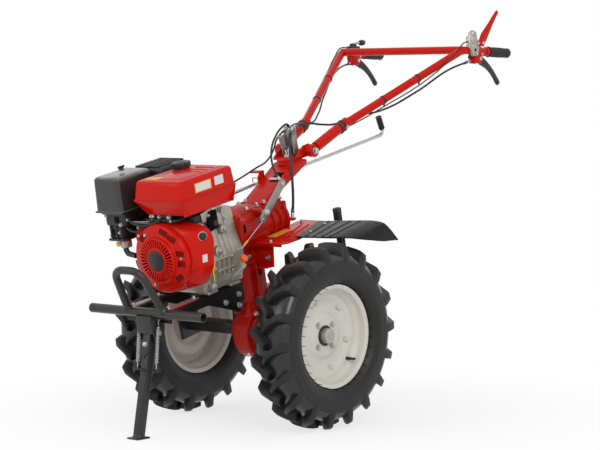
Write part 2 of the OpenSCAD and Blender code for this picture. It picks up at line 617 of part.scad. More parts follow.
// a point beside the arm, t of the way from its elbow to its upper corner
function beside_arm(t, off) = elbow + t * (corner - elbow) + off;
module left_bar_cable() color(soft_black) from_axle()
    cable([corner + [-47.5, 0, -36], beside_arm(0.86, [0, 4, -36]), beside_arm(0.6, [0, 8, -40]),
        beside_arm(0.3, [0, 0, -30]), beside_arm(0.15, [0, -32, -8]), elbow + [-4, -36, 4],
        elbow + [60, -44, 2], elbow + [110, -58, 6], elbow + [144, -70, 0],
        level([-308, 8, 601])], 3.5);
module right_bar_cable() color(soft_black) from_axle()
    cable([flip(corner + [-47.4, 0, -36]), flip(beside_arm(0.86, [0, 0, -30])),
        flip(beside_arm(0.5, [0, -4, -28])), flip(beside_arm(0.16, [0, -34, -8])),
        flip(elbow + [-2, -36, 8]), flip(elbow + [64, -44, 4]), flip(elbow + [112, -60, 4]),
        flip(elbow + [144, -72, -2]), level([-308, -10, 601])], 3);

gearbox();
clutch_housing();
mast();
engine_bed();
bumper();
crankcase();
cylinder_node();  // cylinder
blower_housing();
recoil_starter();
fuel_tank();
fuel_cap();
air_filter();
filter_lid();
carburettor();
muffler();
muffler_shield();
dipstick();
fender_bracket();
left_fender();
right_fender();
hitch();
depth_stake();
gear_rod();
gear_knob();
clutch_lever();
release_wire();
gearbox_cable();
engine_cable();
lever_cable();
stand_leg();
stand_springs();
left_tyre();
left_rim();
left_hub();
right_tyre();
right_rim();
right_hub();
swivel_bracket();
clamp_handle();
handlebar();
left_grip();
right_grip();
squeeze_levers();
switch_bracket();
stop_lever();
throttle_lever();
left_bar_cable();
right_bar_cable();
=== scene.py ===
# %% [markdown]
# # A walk-behind two-wheel tractor, dressed for its portrait
#
# The machine's frame is already built: every casting, tube and wheel is a solid with a true
# size. This lesson gives each of them its finish, and replaces the plain forms with modelled
# ones: bevelled tyres, a pressed fuel tank, a domed fan shroud, cables and springs.

import json
from math import atan2, cos, pi, radians, sin, tan, tau

import bmesh
import bpy
from mathutils import Matrix, Vector
from mathutils.bvhtree import BVHTree
from mathutils.geometry import interpolate_bezier


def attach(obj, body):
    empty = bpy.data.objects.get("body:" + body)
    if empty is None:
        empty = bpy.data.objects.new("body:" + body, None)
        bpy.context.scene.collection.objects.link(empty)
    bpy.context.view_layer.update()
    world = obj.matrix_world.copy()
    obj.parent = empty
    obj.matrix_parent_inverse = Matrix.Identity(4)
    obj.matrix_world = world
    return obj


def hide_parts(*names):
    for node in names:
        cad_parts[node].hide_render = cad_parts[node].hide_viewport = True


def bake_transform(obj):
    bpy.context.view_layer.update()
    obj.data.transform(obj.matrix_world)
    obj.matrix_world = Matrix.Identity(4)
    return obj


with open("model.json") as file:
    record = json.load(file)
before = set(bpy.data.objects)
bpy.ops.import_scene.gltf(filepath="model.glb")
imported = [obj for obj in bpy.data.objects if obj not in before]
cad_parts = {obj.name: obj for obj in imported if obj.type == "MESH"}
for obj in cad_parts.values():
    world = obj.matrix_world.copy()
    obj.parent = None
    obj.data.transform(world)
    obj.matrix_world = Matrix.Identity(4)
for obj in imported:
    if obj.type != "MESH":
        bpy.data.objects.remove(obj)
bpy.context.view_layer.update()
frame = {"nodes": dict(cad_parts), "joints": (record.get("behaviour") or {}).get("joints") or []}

# %% [markdown]
# ## Two sets of axes
#
# The parked machine leans on its front stand, so its whole chassis is turned nose down round
# the wheel axle. Chassis pieces are easier to draw square, in millimetres from the axle. One
# matrix then turns them down and takes them to metres. Pieces on the handlebar and wheels use
# axes that stay level, also from the axle.

# %% Axes
MM = 0.001
wheel_joint = next(j for j in frame["joints"] if j["name"] == "left_wheel_spin")
axle = Vector((wheel_joint["pos_m"][0], 0, wheel_joint["pos_m"][2]))
swivel_joint = next(j for j in frame["joints"] if j["name"] == "handlebar_swivel")
nose_down = atan2(swivel_joint["axis"][0], swivel_joint["axis"][2])
LEVEL = Matrix.Translation(axle) @ Matrix.Scale(MM, 4)
CHASSIS = Matrix.Translation(axle) @ Matrix.Rotation(nose_down, 4, "Y") @ Matrix.Scale(MM, 4)
print("axle", [round(v, 3) for v in axle], "nose down", round(nose_down / pi * 180, 2), "degrees")

# %% [markdown]
# ## The camera
#
# The portrait is taken from the front left, from a little under the height of the handlebar,
# with a long lens, so that the wheels stay round and the two grips look alike in size.

# %% The camera
FROM_AXLE = Vector((5.088, 4.623, 0.752))   # where it stands, in metres
LOOK_DOWN, LOOK_ROUND = 3.41, 131           # degrees
LENS, SENSOR = 125.76, 36                   # millimetres

camera = bpy.data.objects.new("camera", bpy.data.cameras.new("camera"))
bpy.context.scene.collection.objects.link(camera)
camera.location = axle + FROM_AXLE
camera.rotation_euler = (radians(90 - LOOK_DOWN), 0, radians(LOOK_ROUND))
camera.data.lens = LENS
camera.data.sensor_width = SENSOR
bpy.context.scene.camera = camera
print("camera stands", round((camera.location - axle).length, 2), "m from the axle")

# %% [markdown]
# ## A helper for nodes
#
# Every material, and the studio's light, is a small tree of nodes. One helper makes a node,
# sets its options, and fills each input with a constant or a wire from another node's output.

# %% Node helper
def add(tree, kind, inputs=(), **settings):
    """A node whose inputs are constants or sockets of other nodes."""
    node = tree.nodes.new(kind)
    for key, value in settings.items():
        setattr(node, key, value)
    for key, value in dict(inputs).items():
        if isinstance(value, bpy.types.NodeSocket):
            tree.links.new(value, node.inputs[key])
        else:
            node.inputs[key].default_value = value
    return node


print("node helper ready")

# %% [markdown]
# ## The studio
#
# A pale floor that melts into a white background keeps the eye on the machine. Plain white
# would lose the shadow, and grey would show an edge. So the floor is matt round the wheels,
# where it takes their shadow, and turns to plain white further out.

# %% Floor
WHITE_FROM, WHITE_TO = 0.2, 1.4   # radius in metres where the floor starts and ends its change
NEAR_WHITE = 0.72                 # how white the floor already is round the wheels
FLOOR_COLOUR = (0.93, 0.93, 0.93, 1)
FLOOR_RADIUS = 60


def sees_white(tree):
    """1 for camera rays, mirror reflections and rays through glass, else 0."""
    path = add(tree, "ShaderNodeLightPath")
    seen = path.outputs["Is Camera Ray"]
    for name in ("Is Glossy Ray", "Is Transmission Ray"):
        seen = add(tree, "ShaderNodeMath", {0: seen, 1: path.outputs[name]},
                   operation="MAXIMUM").outputs[0]
    return seen


def white_where_seen(tree, output, share, shader, white):
    """Mixes a shader with a white one by share, and plugs the mix into the tree's output."""
    mix = add(tree, "ShaderNodeMixShader",
              {"Fac": share, 1: shader.outputs[0], 2: white.outputs[0]})
    add(tree, output, {"Surface": mix.outputs[0]})


def floor_material():
    material = bpy.data.materials.new("studio floor")
    material.use_nodes = True
    tree = material.node_tree
    tree.nodes.clear()
    place = add(tree, "ShaderNodeTexCoord").outputs["Object"]
    radius = add(tree, "ShaderNodeVectorMath", {0: place}, operation="LENGTH")
    fade = add(tree, "ShaderNodeMapRange",
               {"Value": radius.outputs["Value"], "From Min": WHITE_FROM, "From Max": WHITE_TO,
                "To Min": NEAR_WHITE}, interpolation_type="SMOOTHSTEP")
    share = add(tree, "ShaderNodeMath", {0: fade.outputs["Result"], 1: sees_white(tree)},
                operation="MULTIPLY")
    white_where_seen(tree, "ShaderNodeOutputMaterial", share.outputs[0],
                     add(tree, "ShaderNodeBsdfDiffuse", {"Color": FLOOR_COLOUR}),
                     add(tree, "ShaderNodeEmission"))
    return material


bm = bmesh.new()
bmesh.ops.create_circle(bm, cap_ends=True, segments=96, radius=FLOOR_RADIUS)
floor = bpy.data.objects.new("floor", bpy.data.meshes.new("floor"))
bm.to_mesh(floor.data)
bm.free()
bpy.context.scene.collection.objects.link(floor)
floor.data.materials.append(floor_material())
print("floor turns white between", WHITE_FROM, "and", WHITE_TO, "m")

# %% [markdown]
# ## World and lamps
#
# The world is white where the camera or a reflection sees it, and a soft grey light for
# everything else. A key lamp from the front left models the forms, and a weaker one from the
# right opens the shadows. The view transform is Standard, so colours render as written.

# %% World and lamps
SOFT_LIGHT = 0.62
WHITE = (1, 1, 1, 1)
# name, place, what it points at, width in metres, watts
LAMPS = (("key lamp", (2.6, 3.4, 3.0), (0.1, 0, 0.6), 2.2, 75),
         ("side lamp", (4.2, -1.8, 2.2), (0.2, 0, 0.6), 2.0, 30))

world = bpy.data.worlds.new("studio")
bpy.context.scene.world = world
world.use_nodes = True
world.node_tree.nodes.clear()
white_where_seen(
    world.node_tree, "ShaderNodeOutputWorld", sees_white(world.node_tree),
    add(world.node_tree, "ShaderNodeBackground", {"Color": WHITE, "Strength": SOFT_LIGHT}),
    add(world.node_tree, "ShaderNodeBackground", {"Color": WHITE}))
for name, place, aim, width, power in LAMPS:
    lamp = bpy.data.objects.new(name, bpy.data.lights.new(name, "AREA"))
    bpy.context.scene.collection.objects.link(lamp)
    lamp.location = place
    lamp.rotation_euler = (Vector(aim) - Vector(place)).to_track_quat("-Z", "Y").to_euler()
    lamp.data.size = width
    lamp.data.energy = power
bpy.context.scene.view_settings.view_transform = "Standard"
print("studio ready:", len(LAMPS), "lamps")

# %% [markdown]
# ## Effects that many finishes share
#
# Three node groups are built once and placed in every finish. The first, *Surface grain*,
# gives a fine height for casting skin, powder coat or moulded plastic, and a broad mottle that
# keeps a colour from being flat. Two noises at different scales are enough for both.

# %% Surface grain
def new_group(name, inputs, outputs):
    """An empty shader group with float inputs (name, default) and outputs (name, kind)."""
    group = bpy.data.node_groups.new(name, "ShaderNodeTree")
    for label, default in inputs:
        socket = group.interface.new_socket(label, in_out="INPUT", socket_type="NodeSocketFloat")
        socket.default_value = default
    for label, kind in outputs:
        group.interface.new_socket(label, in_out="OUTPUT", socket_type=kind)
    return group, group.nodes.new("NodeGroupInput"), group.nodes.new("NodeGroupOutput")


def grain_group():
    group, given, out = new_group(
        "Surface grain", [("Fine scale", 800), ("Broad scale", 12)],
        [("Height", "NodeSocketFloat"), ("Mottle", "NodeSocketFloat")])
    place = add(group, "ShaderNodeTexCoord").outputs["Object"]
    fine = add(group, "ShaderNodeTexNoise", {"Vector": place, "Scale": given.outputs["Fine scale"],
                                             "Detail": 3.0, "Roughness": 0.6})
    broad = add(group, "ShaderNodeTexNoise", {"Vector": place, "Detail": 5.0, "Roughness": 0.65,
                                              "Scale": given.outputs["Broad scale"]})
    group.links.new(fine.outputs["Fac"], out.inputs["Height"])
    group.links.new(broad.outputs["Fac"], out.inputs["Mottle"])
    return group


GRAIN = grain_group()
print("group", GRAIN.name, "puts out height and mottle")

# %% [markdown]
# ## Soft edges, and dust with painted top light
#
# *Soft edge* rounds the shading of every sharp corner by about a millimetre, as paint and
# casting do, without a single extra face. A second group lays a pale grey in noisy patches on
# faces that look up: settled dust, and where strong, as on the filter's lid, painted top light.

# %% Soft edges, dust and painted top light
def edge_group():
    group, given, out = new_group("Soft edge", [("Radius", 0.001)],
                                  [("Normal", "NodeSocketVector")])
    bevel = add(group, "ShaderNodeBevel", {"Radius": given.outputs["Radius"]}, samples=4)
    group.links.new(bevel.outputs["Normal"], out.inputs["Normal"])
    return group


# pale grey on faces that look up: settled dust, and painted light on tops where the amount is high
def dust_and_top_light_group():
    group, given, out = new_group("Dust and top light", [("Amount", 0.2)], [("Mask", "NodeSocketFloat")])
    up = add(group, "ShaderNodeSeparateXYZ",
             {"Vector": add(group, "ShaderNodeNewGeometry").outputs["Normal"]})
    place = add(group, "ShaderNodeTexCoord").outputs["Object"]
    patches = add(group, "ShaderNodeTexNoise", {"Vector": place, "Scale": 25.0, "Detail": 4.0})
    facing = add(group, "ShaderNodeMapRange", {"Value": up.outputs["Z"], "From Min": 0.3})
    clumped = add(group, "ShaderNodeMath", {0: facing.outputs["Result"],
                                            1: patches.outputs["Fac"]}, operation="MULTIPLY")
    amount = add(group, "ShaderNodeMath", {0: clumped.outputs[0], 1: given.outputs["Amount"]},
                 operation="MULTIPLY")
    group.links.new(amount.outputs[0], out.inputs["Mask"])
    return group


SOFT_EDGE, DUST_AND_TOP_LIGHT = edge_group(), dust_and_top_light_group()
print("node groups:", [g.name for g in bpy.data.node_groups])

# %% [markdown]
# ## The finishes
#
# Enamel over sheet steel is smooth and glossy, the same enamel over a casting shows the sand's
# skin, powder coat is satin with a fine orange peel, and bare castings, zinc and rubber each
# have their own grain. All of them are rows of one table, so a finish is changed by changing
# one row.

# %% Table of finishes
# colour, its darker twin, roughness low and high, metallic, specular level, grain per metre,
# grain depth in metres, radius of soft edges, dust and painted top light on faces that look up
FINISHES = {
    "red_paint": ((0.60, 0.008, 0.001), (0.53, 0.006, 0.001), 0.20, 0.30, 0, 0.16, 260, 0.00006,
                  0.0004, 0.03),
    "red_cast": ((0.50, 0.007, 0.001), (0.36, 0.004, 0.001), 0.26, 0.42, 0, 0.2, 420, 0.00045,
                 0.0010, 0.05),
    "black_paint": ((0.008, 0.0078, 0.008), (0.005, 0.005, 0.005), 0.26, 0.40, 0, 0.22, 700,
                    0.00014, 0.0005, 0.0),
    "grey_tube": ((0.024, 0.022, 0.020), (0.017, 0.016, 0.014), 0.26, 0.40, 0, 0.4, 900, 0.00012,
                  0.0004, 0.06),
    "cast_alloy": ((0.60, 0.56, 0.50), (0.24, 0.22, 0.19), 0.30, 0.52, 0.85, 0.5, 420, 0.00060,
                   0.0012, 0.05),
    "black_plastic": ((0.012, 0.012, 0.013), (0.008, 0.008, 0.009), 0.34, 0.50, 0, 0.42, 1500,
                      0.00010, 0.0004, 0.06),
    # on the lid the high dust value mostly paints light onto the top, paler than the sides
    "lid_plastic": ((0.026, 0.0245, 0.0225), (0.020, 0.0185, 0.017), 0.18, 0.27, 0, 0.6, 1500,
                    0.00006, 0.0006, 1.5),
    "orange_plastic": ((0.85, 0.16, 0.01), (0.75, 0.12, 0.01), 0.30, 0.42, 0, 0.4, 900, 0.00010,
                       0.0010, 0.0),
    "yellow_plastic": ((0.80, 0.55, 0.02), (0.70, 0.46, 0.02), 0.34, 0.46, 0, 0.4, 900, 0.00010,
                       0.0008, 0.0),
    "zinc": ((0.60, 0.60, 0.60), (0.40, 0.40, 0.41), 0.24, 0.42, 1, 0.5, 700, 0.00003, 0.0002,
             0.0),
    "rim_paint": ((0.68, 0.655, 0.60), (0.60, 0.575, 0.53), 0.30, 0.42, 0, 0.5, 300, 0.00010,
                  0.0015, 0.05),
    "tyre": ((0.011, 0.0095, 0.008), (0.007, 0.006, 0.005), 0.42, 0.58, 0, 0.36, 1100, 0.00020,
             0.0010, 0.10),
    "tread_gloss": ((0.012, 0.012, 0.013), (0.008, 0.008, 0.009), 0.20, 0.32, 0, 0.5, 500,
                    0.00006, 0.0010, 0.03),
    "rubber": ((0.014, 0.014, 0.014), (0.010, 0.010, 0.010), 0.50, 0.64, 0, 0.5, 1200, 0.00020,
               0.0010, 0.05),
    "soot_steel": ((0.016, 0.016, 0.017), (0.011, 0.011, 0.011), 0.38, 0.56, 0, 0.5, 700,
                   0.00030, 0.0010, 0.08),
    "bare_steel": ((0.34, 0.33, 0.31), (0.24, 0.23, 0.22), 0.34, 0.54, 0.7, 0.5, 600, 0.00020,
                   0.0010, 0.05),
    "label_white": ((0.72, 0.71, 0.68), (0.66, 0.65, 0.62), 0.26, 0.36, 0, 0.4, 300, 0.00004,
                    0.0004, 0.0),
    "label_yellow": ((0.78, 0.42, 0.04), (0.72, 0.37, 0.03), 0.26, 0.36, 0, 0.4, 300, 0.00004,
                     0.0004, 0.0),
    # near-black and rough: painted shade laid in slots, holes and openings
    "painted_recess_shade": ((0.004, 0.004, 0.004), (0.003, 0.003, 0.003), 0.8, 0.9, 0, 0.1, 400, 0.0001,
                    0.0005, 0.0),
}
print("finishes in the table:", len(FINISHES))

# %% [markdown]
# ## From a row to a material
#
# One function turns a row into nodes. The mottle slides the colour between its two tones and
# the roughness between its two ends, dust and painted top light lie over the colour, and the
# grain is a bump on top of the soft edges. Metallic and specular level are the same all over,
# so they are constants.

# %% Materials
# pale grey of settled dust, and of painted top light on faces that look up
DUST_AND_TOP_LIGHT_COLOUR = (0.30, 0.29, 0.28, 1)
# places of a colour mix node's sockets: the share, the two colours and the result
MIX_BY, MIX_A, MIX_B, MIXED = 0, 6, 7, 2


def finish_material(name, colour, darker, smooth, rough, metallic, sheen, grain, depth, edge,
                    dust_and_top_light):
    material = bpy.data.materials.new(name)
    material.use_nodes = True
    tree = material.node_tree
    shader = tree.nodes["Principled BSDF"]
    skin = add(tree, "ShaderNodeGroup", node_tree=GRAIN)
    skin.inputs["Fine scale"].default_value = grain
    mottled = add(tree, "ShaderNodeMix", {MIX_BY: skin.outputs["Mottle"], MIX_A: (*darker, 1),
                                          MIX_B: (*colour, 1)}, data_type="RGBA")
    # dust and painted top light: pale grey on faces that look up
    dust_and_light_mask = add(tree, "ShaderNodeGroup", node_tree=DUST_AND_TOP_LIGHT)
    dust_and_light_mask.inputs["Amount"].default_value = dust_and_top_light
    dusted_and_lit = add(tree, "ShaderNodeMix", {MIX_BY: dust_and_light_mask.outputs["Mask"], MIX_B: DUST_AND_TOP_LIGHT_COLOUR,
                                        MIX_A: mottled.outputs[MIXED]}, data_type="RGBA")
    tree.links.new(dusted_and_lit.outputs[MIXED], shader.inputs["Base Color"])
    gloss = add(tree, "ShaderNodeMapRange", {"Value": skin.outputs["Mottle"], "From Min": 0.3,
                                             "From Max": 0.7, "To Min": rough, "To Max": smooth})
    tree.links.new(gloss.outputs["Result"], shader.inputs["Roughness"])
    soft = add(tree, "ShaderNodeGroup", node_tree=SOFT_EDGE)
    soft.inputs["Radius"].default_value = edge
    bump = add(tree, "ShaderNodeBump", {"Height": skin.outputs["Height"], "Distance": depth,
                                        "Normal": soft.outputs["Normal"]})
    tree.links.new(bump.outputs["Normal"], shader.inputs["Normal"])
    shader.inputs["Metallic"].default_value = metallic
    shader.inputs["Specular IOR Level"].default_value = sheen
    return material


MATERIALS = {name: finish_material(name, *row) for name, row in FINISHES.items()}
print("finishes:", ", ".join(MATERIALS))

# %% [markdown]
# ## Blocks, bars and turned parts
#
# Castings and pressings are mostly boxes, round bars and turned shapes whose edges catch the
# light. Each helper adds one such form to a mesh with bmesh operators, in millimetres, and
# bevels its edges. Sharp ones would look like cardboard, whatever their paint.

# %% Blocks, bars and turned parts
def edges_of(verts):
    """The edges that touch any of the given points."""
    return {e for v in verts for e in v.link_edges}


def edges_within(verts):
    """The edges whose two ends are both among the given points."""
    return {e for e in edges_of(verts) if all(v in verts for v in e.verts)}


def points_in(geom):
    """The points among the mixed results of an operator."""
    return [v for v in geom if isinstance(v, bmesh.types.BMVert)]


def soften(bm, edges, radius, steps=3):
    """Rounds the given edges."""
    return bmesh.ops.bevel(bm, geom=list(edges), offset=radius, segments=steps, affect="EDGES",
                           profile=0.5, material=-1, clamp_overlap=True)


def box(bm, a, b, radius=0.0, steps=3):
    """A box between two opposite corners, its edges rounded to radius."""
    lo, hi = (Vector(corner) for corner in zip(*map(sorted, zip(a, b))))
    place = Matrix.Translation((lo + hi) / 2) @ Matrix.Diagonal((*(hi - lo), 1))
    verts = bmesh.ops.create_cube(bm, size=1, matrix=place)["verts"]
    if radius:
        soften(bm, edges_of(verts), radius, steps)
    return verts


def bar(bm, a, b, radius, end_radius=None, segments=32, tip=0.0):
    """A round bar from a to b; tip is the rounding of its edge at b."""
    a, b = Vector(a), Vector(b)
    turn = (b - a).to_track_quat("Z", "Y").to_matrix().to_4x4()
    verts = bmesh.ops.create_cone(
        bm, cap_ends=True, segments=segments, radius1=radius,
        radius2=radius if end_radius is None else end_radius, depth=(b - a).length,
        matrix=Matrix.Translation((a + b) / 2) @ turn)["verts"]
    if tip:
        far = [v for v in verts if (v.co - b).dot(b - a) > -1e-3]
        soften(bm, edges_within(far), tip)
    return verts


def turned(bm, profile, centre=(0, 0, 0), axis=(1, 0, 0), steps=72, closed=False):
    """A profile of (radius, distance along the axis) spun into a round body."""
    centre, axis = Vector(centre), Vector(axis).normalized()
    out = axis.orthogonal().normalized()
    verts = [bm.verts.new(centre + along * axis + radius * out) for radius, along in profile]
    pairs = list(zip(verts, verts[1:])) + ([(verts[-1], verts[0])] if closed else [])
    edges = [bm.edges.new(pair) for pair in pairs]
    bmesh.ops.spin(bm, geom=verts + edges, cent=centre, axis=axis, angle=tau, steps=steps,
                   use_merge=True)


print("ready: boxes, bars and turned parts")

# %% [markdown]
# ## Plates and skins
#
# Sheet metal starts as an outline on the bench, and a plate is an outline drawn out to its
# thickness. A skin is stretched over several rings, as on a tyre's lug, or round a cloud of
# points, as on a domed cover. Operators do it all, so no face is listed by hand.

# %% Plates and skins
def plate(bm, outline, draw, radius=0.0, steps=2):
    """A closed outline of points, drawn out along the vector draw."""
    face = bm.faces.new([bm.verts.new(p) for p in outline])
    verts = points_in(bmesh.ops.extrude_face_region(bm, geom=[face], use_keep_orig=True)["geom"])
    bmesh.ops.translate(bm, verts=verts, vec=draw)
    if radius:
        both = edges_of([*verts, *face.verts])
        rims = {e for e in both if (e.verts[0] in verts) == (e.verts[1] in verts)}
        soften(bm, rims, radius, steps)
    return verts


def side_plate(bm, outline, y0, y1, radius=0.0, steps=2):
    """A plate that stands lengthwise: an outline of (x, z) from y0 to y1."""
    return plate(bm, [(x, y0, z) for x, z in outline], (0, y1 - y0, 0), radius, steps)


def loft(bm, rings):
    """Skins a row of closed rings of points and caps both ends."""
    loops = []
    for ring in rings:
        verts = [bm.verts.new(p) for p in ring]
        loops.append([bm.edges.new(pair) for pair in zip(verts, verts[1:] + verts[:1])])
    for near, far in zip(loops, loops[1:]):
        bmesh.ops.bridge_loops(bm, edges=near + far)
    for loop in (loops[0], loops[-1]):
        bmesh.ops.edgeloop_fill(bm, edges=loop)


def hull_of(bm, verts):
    """Wraps points in one convex skin and drops what lies inside it."""
    inside = points_in(bmesh.ops.convex_hull(bm, input=verts)["geom_interior"])
    bmesh.ops.delete(bm, geom=inside, context="VERTS")


def mirrored(bm):
    """Copies what is drawn to the other side of the middle plane."""
    geom = bmesh.ops.duplicate(bm, geom=bm.verts[:] + bm.edges[:] + bm.faces[:])["geom"]
    bmesh.ops.scale(bm, verts=points_in(geom), vec=(1, -1, 1))
    bmesh.ops.reverse_faces(bm, faces=[f for f in geom if isinstance(f, bmesh.types.BMFace)])


print("ready: plates, skins and the mirror")

# %% [markdown]
# ## Tubes, wires and rounded corners
#
# A bent tube is a route of straight runs whose corners are arcs, and a cable swings through a
# few points. Curves already do both, with a round section and closed ends, so a curve is made
# for a moment, turned into a mesh and thrown away.

# %% Tubes, wires and rounded corners
def rounded(points, bend, per=8):
    """A route whose corners are arcs of radius bend."""
    points = [Vector(p) for p in points]
    route = [points[0]]
    for before, corner, after in zip(points, points[1:], points[2:]):
        back, on = (before - corner).normalized(), (after - corner).normalized()
        turn = pi - back.angle(on)
        reach = min(bend * tan(turn / 2), 0.49 * (before - corner).length,
                    0.49 * (after - corner).length)
        pull = 1 - 4 / 3 * tan(turn / 4) / tan(turn / 2) if turn > 1e-3 else 0
        start, end = corner + reach * back, corner + reach * on
        route += interpolate_bezier(start, corner + pull * (start - corner),
                                    corner + pull * (end - corner), end, per + 1)
    return route + [points[-1]]


def rounded_outline(points, bend, per=5):
    """A closed outline in a plane, its corners rounded."""
    return rounded([points[-1], *points, points[0]], bend, per)[1:-1]


def sweep(bm, points, radius, bend=None, sides=4):
    """A round rod along a route; without a bend the route swings through its points."""
    route = bpy.data.curves.new("route", "CURVE")
    route.dimensions = "3D"
    route.bevel_depth, route.bevel_resolution = radius, sides
    route.use_fill_caps = True
    route.resolution_u = 10
    if bend is None:
        line = route.splines.new("BEZIER")
        line.bezier_points.add(len(points) - 1)
        for knot, point in zip(line.bezier_points, points):
            knot.co = point
            knot.handle_left_type = knot.handle_right_type = "AUTO"
    else:
        points = rounded(points, bend)
        line = route.splines.new("POLY")
        line.points.add(len(points) - 1)
        for knot, point in zip(line.points, points):
            knot.co = (*point, 1)
    holder = bpy.data.objects.new("route", route)
    mesh = bpy.data.meshes.new_from_object(holder)
    bm.from_mesh(mesh)
    bpy.data.objects.remove(holder)
    bpy.data.curves.remove(route)
    bpy.data.meshes.remove(mesh)


print("ready: tubes and wires")

# %% [markdown]
# ## Bolts
#
# Dozens of plated bolts hold the machine together, so a bolt has few faces: a washer and a
# six-sided head with rounded upper edges, both sized from its thread. Where a real one carries
# a nut, the end of the stud stands past it.

# %% Bolts
def bolt(parts, at, axis=(0, 1, 0), size=8.0, stud=0.0, finish="zinc"):
    """A hexagon head on its washer, for a thread of that size; a stud stands past a nut."""
    bm, at, axis = parts[finish], Vector(at), Vector(axis).normalized()
    bar(bm, at - 0.2 * size * axis, at + 0.18 * size * axis, 1.05 * size, segments=24,
        tip=0.06 * size)
    bar(bm, at + 0.1 * size * axis, at + 0.8 * size * axis, 0.93 * size, segments=6,
        tip=0.1 * size)
    if stud:
        bar(bm, at, at + (0.8 * size + stud) * axis, 0.48 * size, segments=16, tip=0.08 * size)


print("ready: bolts")

# %% [markdown]
# ## From meshes to a piece
# A piece often has several finishes, such as a red plate with bright bolts, and starts as one
# empty mesh for each. The last helper merges doubles, turns the faces outwards, joins the
# meshes, places them in metres and, when it is named, says which body they ride on. The piece is
# known by its
# first finish.

# %% From meshes to a piece
def fresh(*finishes):
    """An empty mesh for each finish."""
    return {finish: bmesh.new() for finish in finishes}


def fit_piece(name, meshes, body, replaced=(), place=CHASSIS, angle=35):
    """A piece made of {finish: mesh}, placed in metres. It rides on a body given by name; when
    body is (one, other, where it starts to follow the other, where it only does), it rides on none."""
    whole = bmesh.new()
    for index, part in enumerate(meshes.values()):
        bmesh.ops.remove_doubles(part, verts=part.verts, dist=0.004)
        bmesh.ops.recalc_face_normals(part, faces=part.faces)
        for face in part.faces:
            face.material_index = index
        shape = bpy.data.meshes.new("part")
        part.to_mesh(shape)
        part.free()
        whole.from_mesh(shape)
        bpy.data.meshes.remove(shape)
    mesh = bpy.data.meshes.new(name)
    whole.to_mesh(mesh)
    whole.free()
    mesh.transform(place)
    if place.determinant() < 0:
        mesh.flip_normals()
    mesh.shade_smooth()
    mesh.set_sharp_from_angle(angle=radians(angle))
    for finish in meshes:
        mesh.materials.append(MATERIALS[finish])
    piece = bpy.data.objects.new(name, mesh)
    bpy.context.scene.collection.objects.link(piece)
    first = next(iter(meshes))
    if isinstance(body, str):
        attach(piece, body)
    else:
        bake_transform(piece)
    if replaced:
        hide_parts(*replaced)
    print(name, len(mesh.polygons), "faces")


print("ready: pieces")

# %% [markdown]
# ## Finishes on the solids
#
# Each solid keeps its own shape and takes the finish of its slot. Solids that are drawn anew
# further down are dressed here too, so that nothing shows bare whatever is replaced.

# %% Dress the solids
DRESSED = {
    "red_paint": ("mast", "blower_housing", "recoil_starter", "fuel_tank", "fender_bracket",
                  "swivel_bracket", "handlebar", "stop_lever", "squeeze_levers"),
    "red_cast": ("gearbox", "clutch_housing"),
    "black_paint": ("engine_bed", "left_fender", "right_fender", "hitch", "depth_stake"),
    "grey_tube": ("bumper", "stand_leg", "left_hub", "right_hub"),
    "cast_alloy": ("crankcase", "cylinder", "switch_bracket"),
    "black_plastic": ("fuel_cap", "air_filter", "carburettor", "gear_knob", "throttle_lever",
                      "gearbox_cable", "engine_cable", "lever_cable", "left_bar_cable",
                      "right_bar_cable"),
    "lid_plastic": ("filter_lid",),
    "orange_plastic": ("dipstick",),
    "zinc": ("gear_rod", "clutch_lever", "clamp_handle", "release_wire", "stand_springs"),
    "rim_paint": ("left_rim", "right_rim"),
    "tyre": ("left_tyre", "right_tyre"),
    "rubber": ("left_grip", "right_grip"),
    "soot_steel": ("muffler", "muffler_shield"),
}
for slot_name, nodes in DRESSED.items():
    for node_name in nodes:
        solid = frame["nodes"][node_name]
        solid.data.materials.clear()
        solid.data.materials.append(MATERIALS[slot_name])
print("solids dressed:", sum(len(nodes) for nodes in DRESSED.values()), "of", len(frame["nodes"]))

# %% [markdown]
# ## Farm tyres
#
# A drive tyre is moulded in one piece: a smooth carcass, and on each side eighteen curved bars
# that run from the middle of the tread to the shoulder and drop down the sidewall. A bar could
# be an outline drawn out, but it bends three ways at once. So it is a skin over eight
# four-cornered rings.

# %% One bar of the tread
LUGS, LUG_R = 18, 285
SHOWN_R = 235   # nearer to the axle, a bar's edges lie inside the sidewall
# of a bar: along the tread, across it, radius of foot and top, half widths of foot and top
LUG = ((-6, -5, 262, 296, 15, 9), (8, 6, 262, 299.5, 15.5, 9.5), (21, 20, 262, 299.5, 16, 10),
       (32, 36, 260, 298, 17, 10.5), (39, 50, 254, 295, 18, 11), (43, 60, 244, 289, 18, 12),
       (45.5, 68, 232, 262, 18, 12.5), (46.5, 70.5, 224, 236, 15, 10))


def tread_bar():
    """One bar at the top of the wheel, its edges rounded."""
    bm = bmesh.new()
    rings = []
    for along, across, foot, top, half_foot, half_top in LUG:
        turn = -along / LUG_R
        ahead, out = Vector((cos(turn), 0, -sin(turn))), Vector((sin(turn), 0, cos(turn)))
        side = Vector((0, across, 0))
        rings.append([out * foot + side + ahead * half_foot, out * top + side + ahead * half_top,
                      out * top + side - ahead * half_top, out * foot + side - ahead * half_foot])
    loft(bm, rings)
    sharp = [e for e in bm.edges if max(v.co.length for v in e.verts) > SHOWN_R
             and len(e.link_faces) == 2 and e.calc_face_angle(0) > 0.5]
    soften(bm, sharp, 2.4, 2)
    mesh = bpy.data.meshes.new("bar")
    bm.to_mesh(mesh)
    bm.free()
    return mesh


lug = tread_bar()
print("one bar of the tread:", len(lug.polygons), "faces")

# %% [markdown]
# ## Tyres
#
# The sidewalls and the crown are closed profiles spun round the axle, and the crown is a
# little glossier, as where the mould is polished. The bar is copied round the wheel, and the
# other side is its mirror image, half a step further on.

# %% Tyres
WHEEL_Y = 300
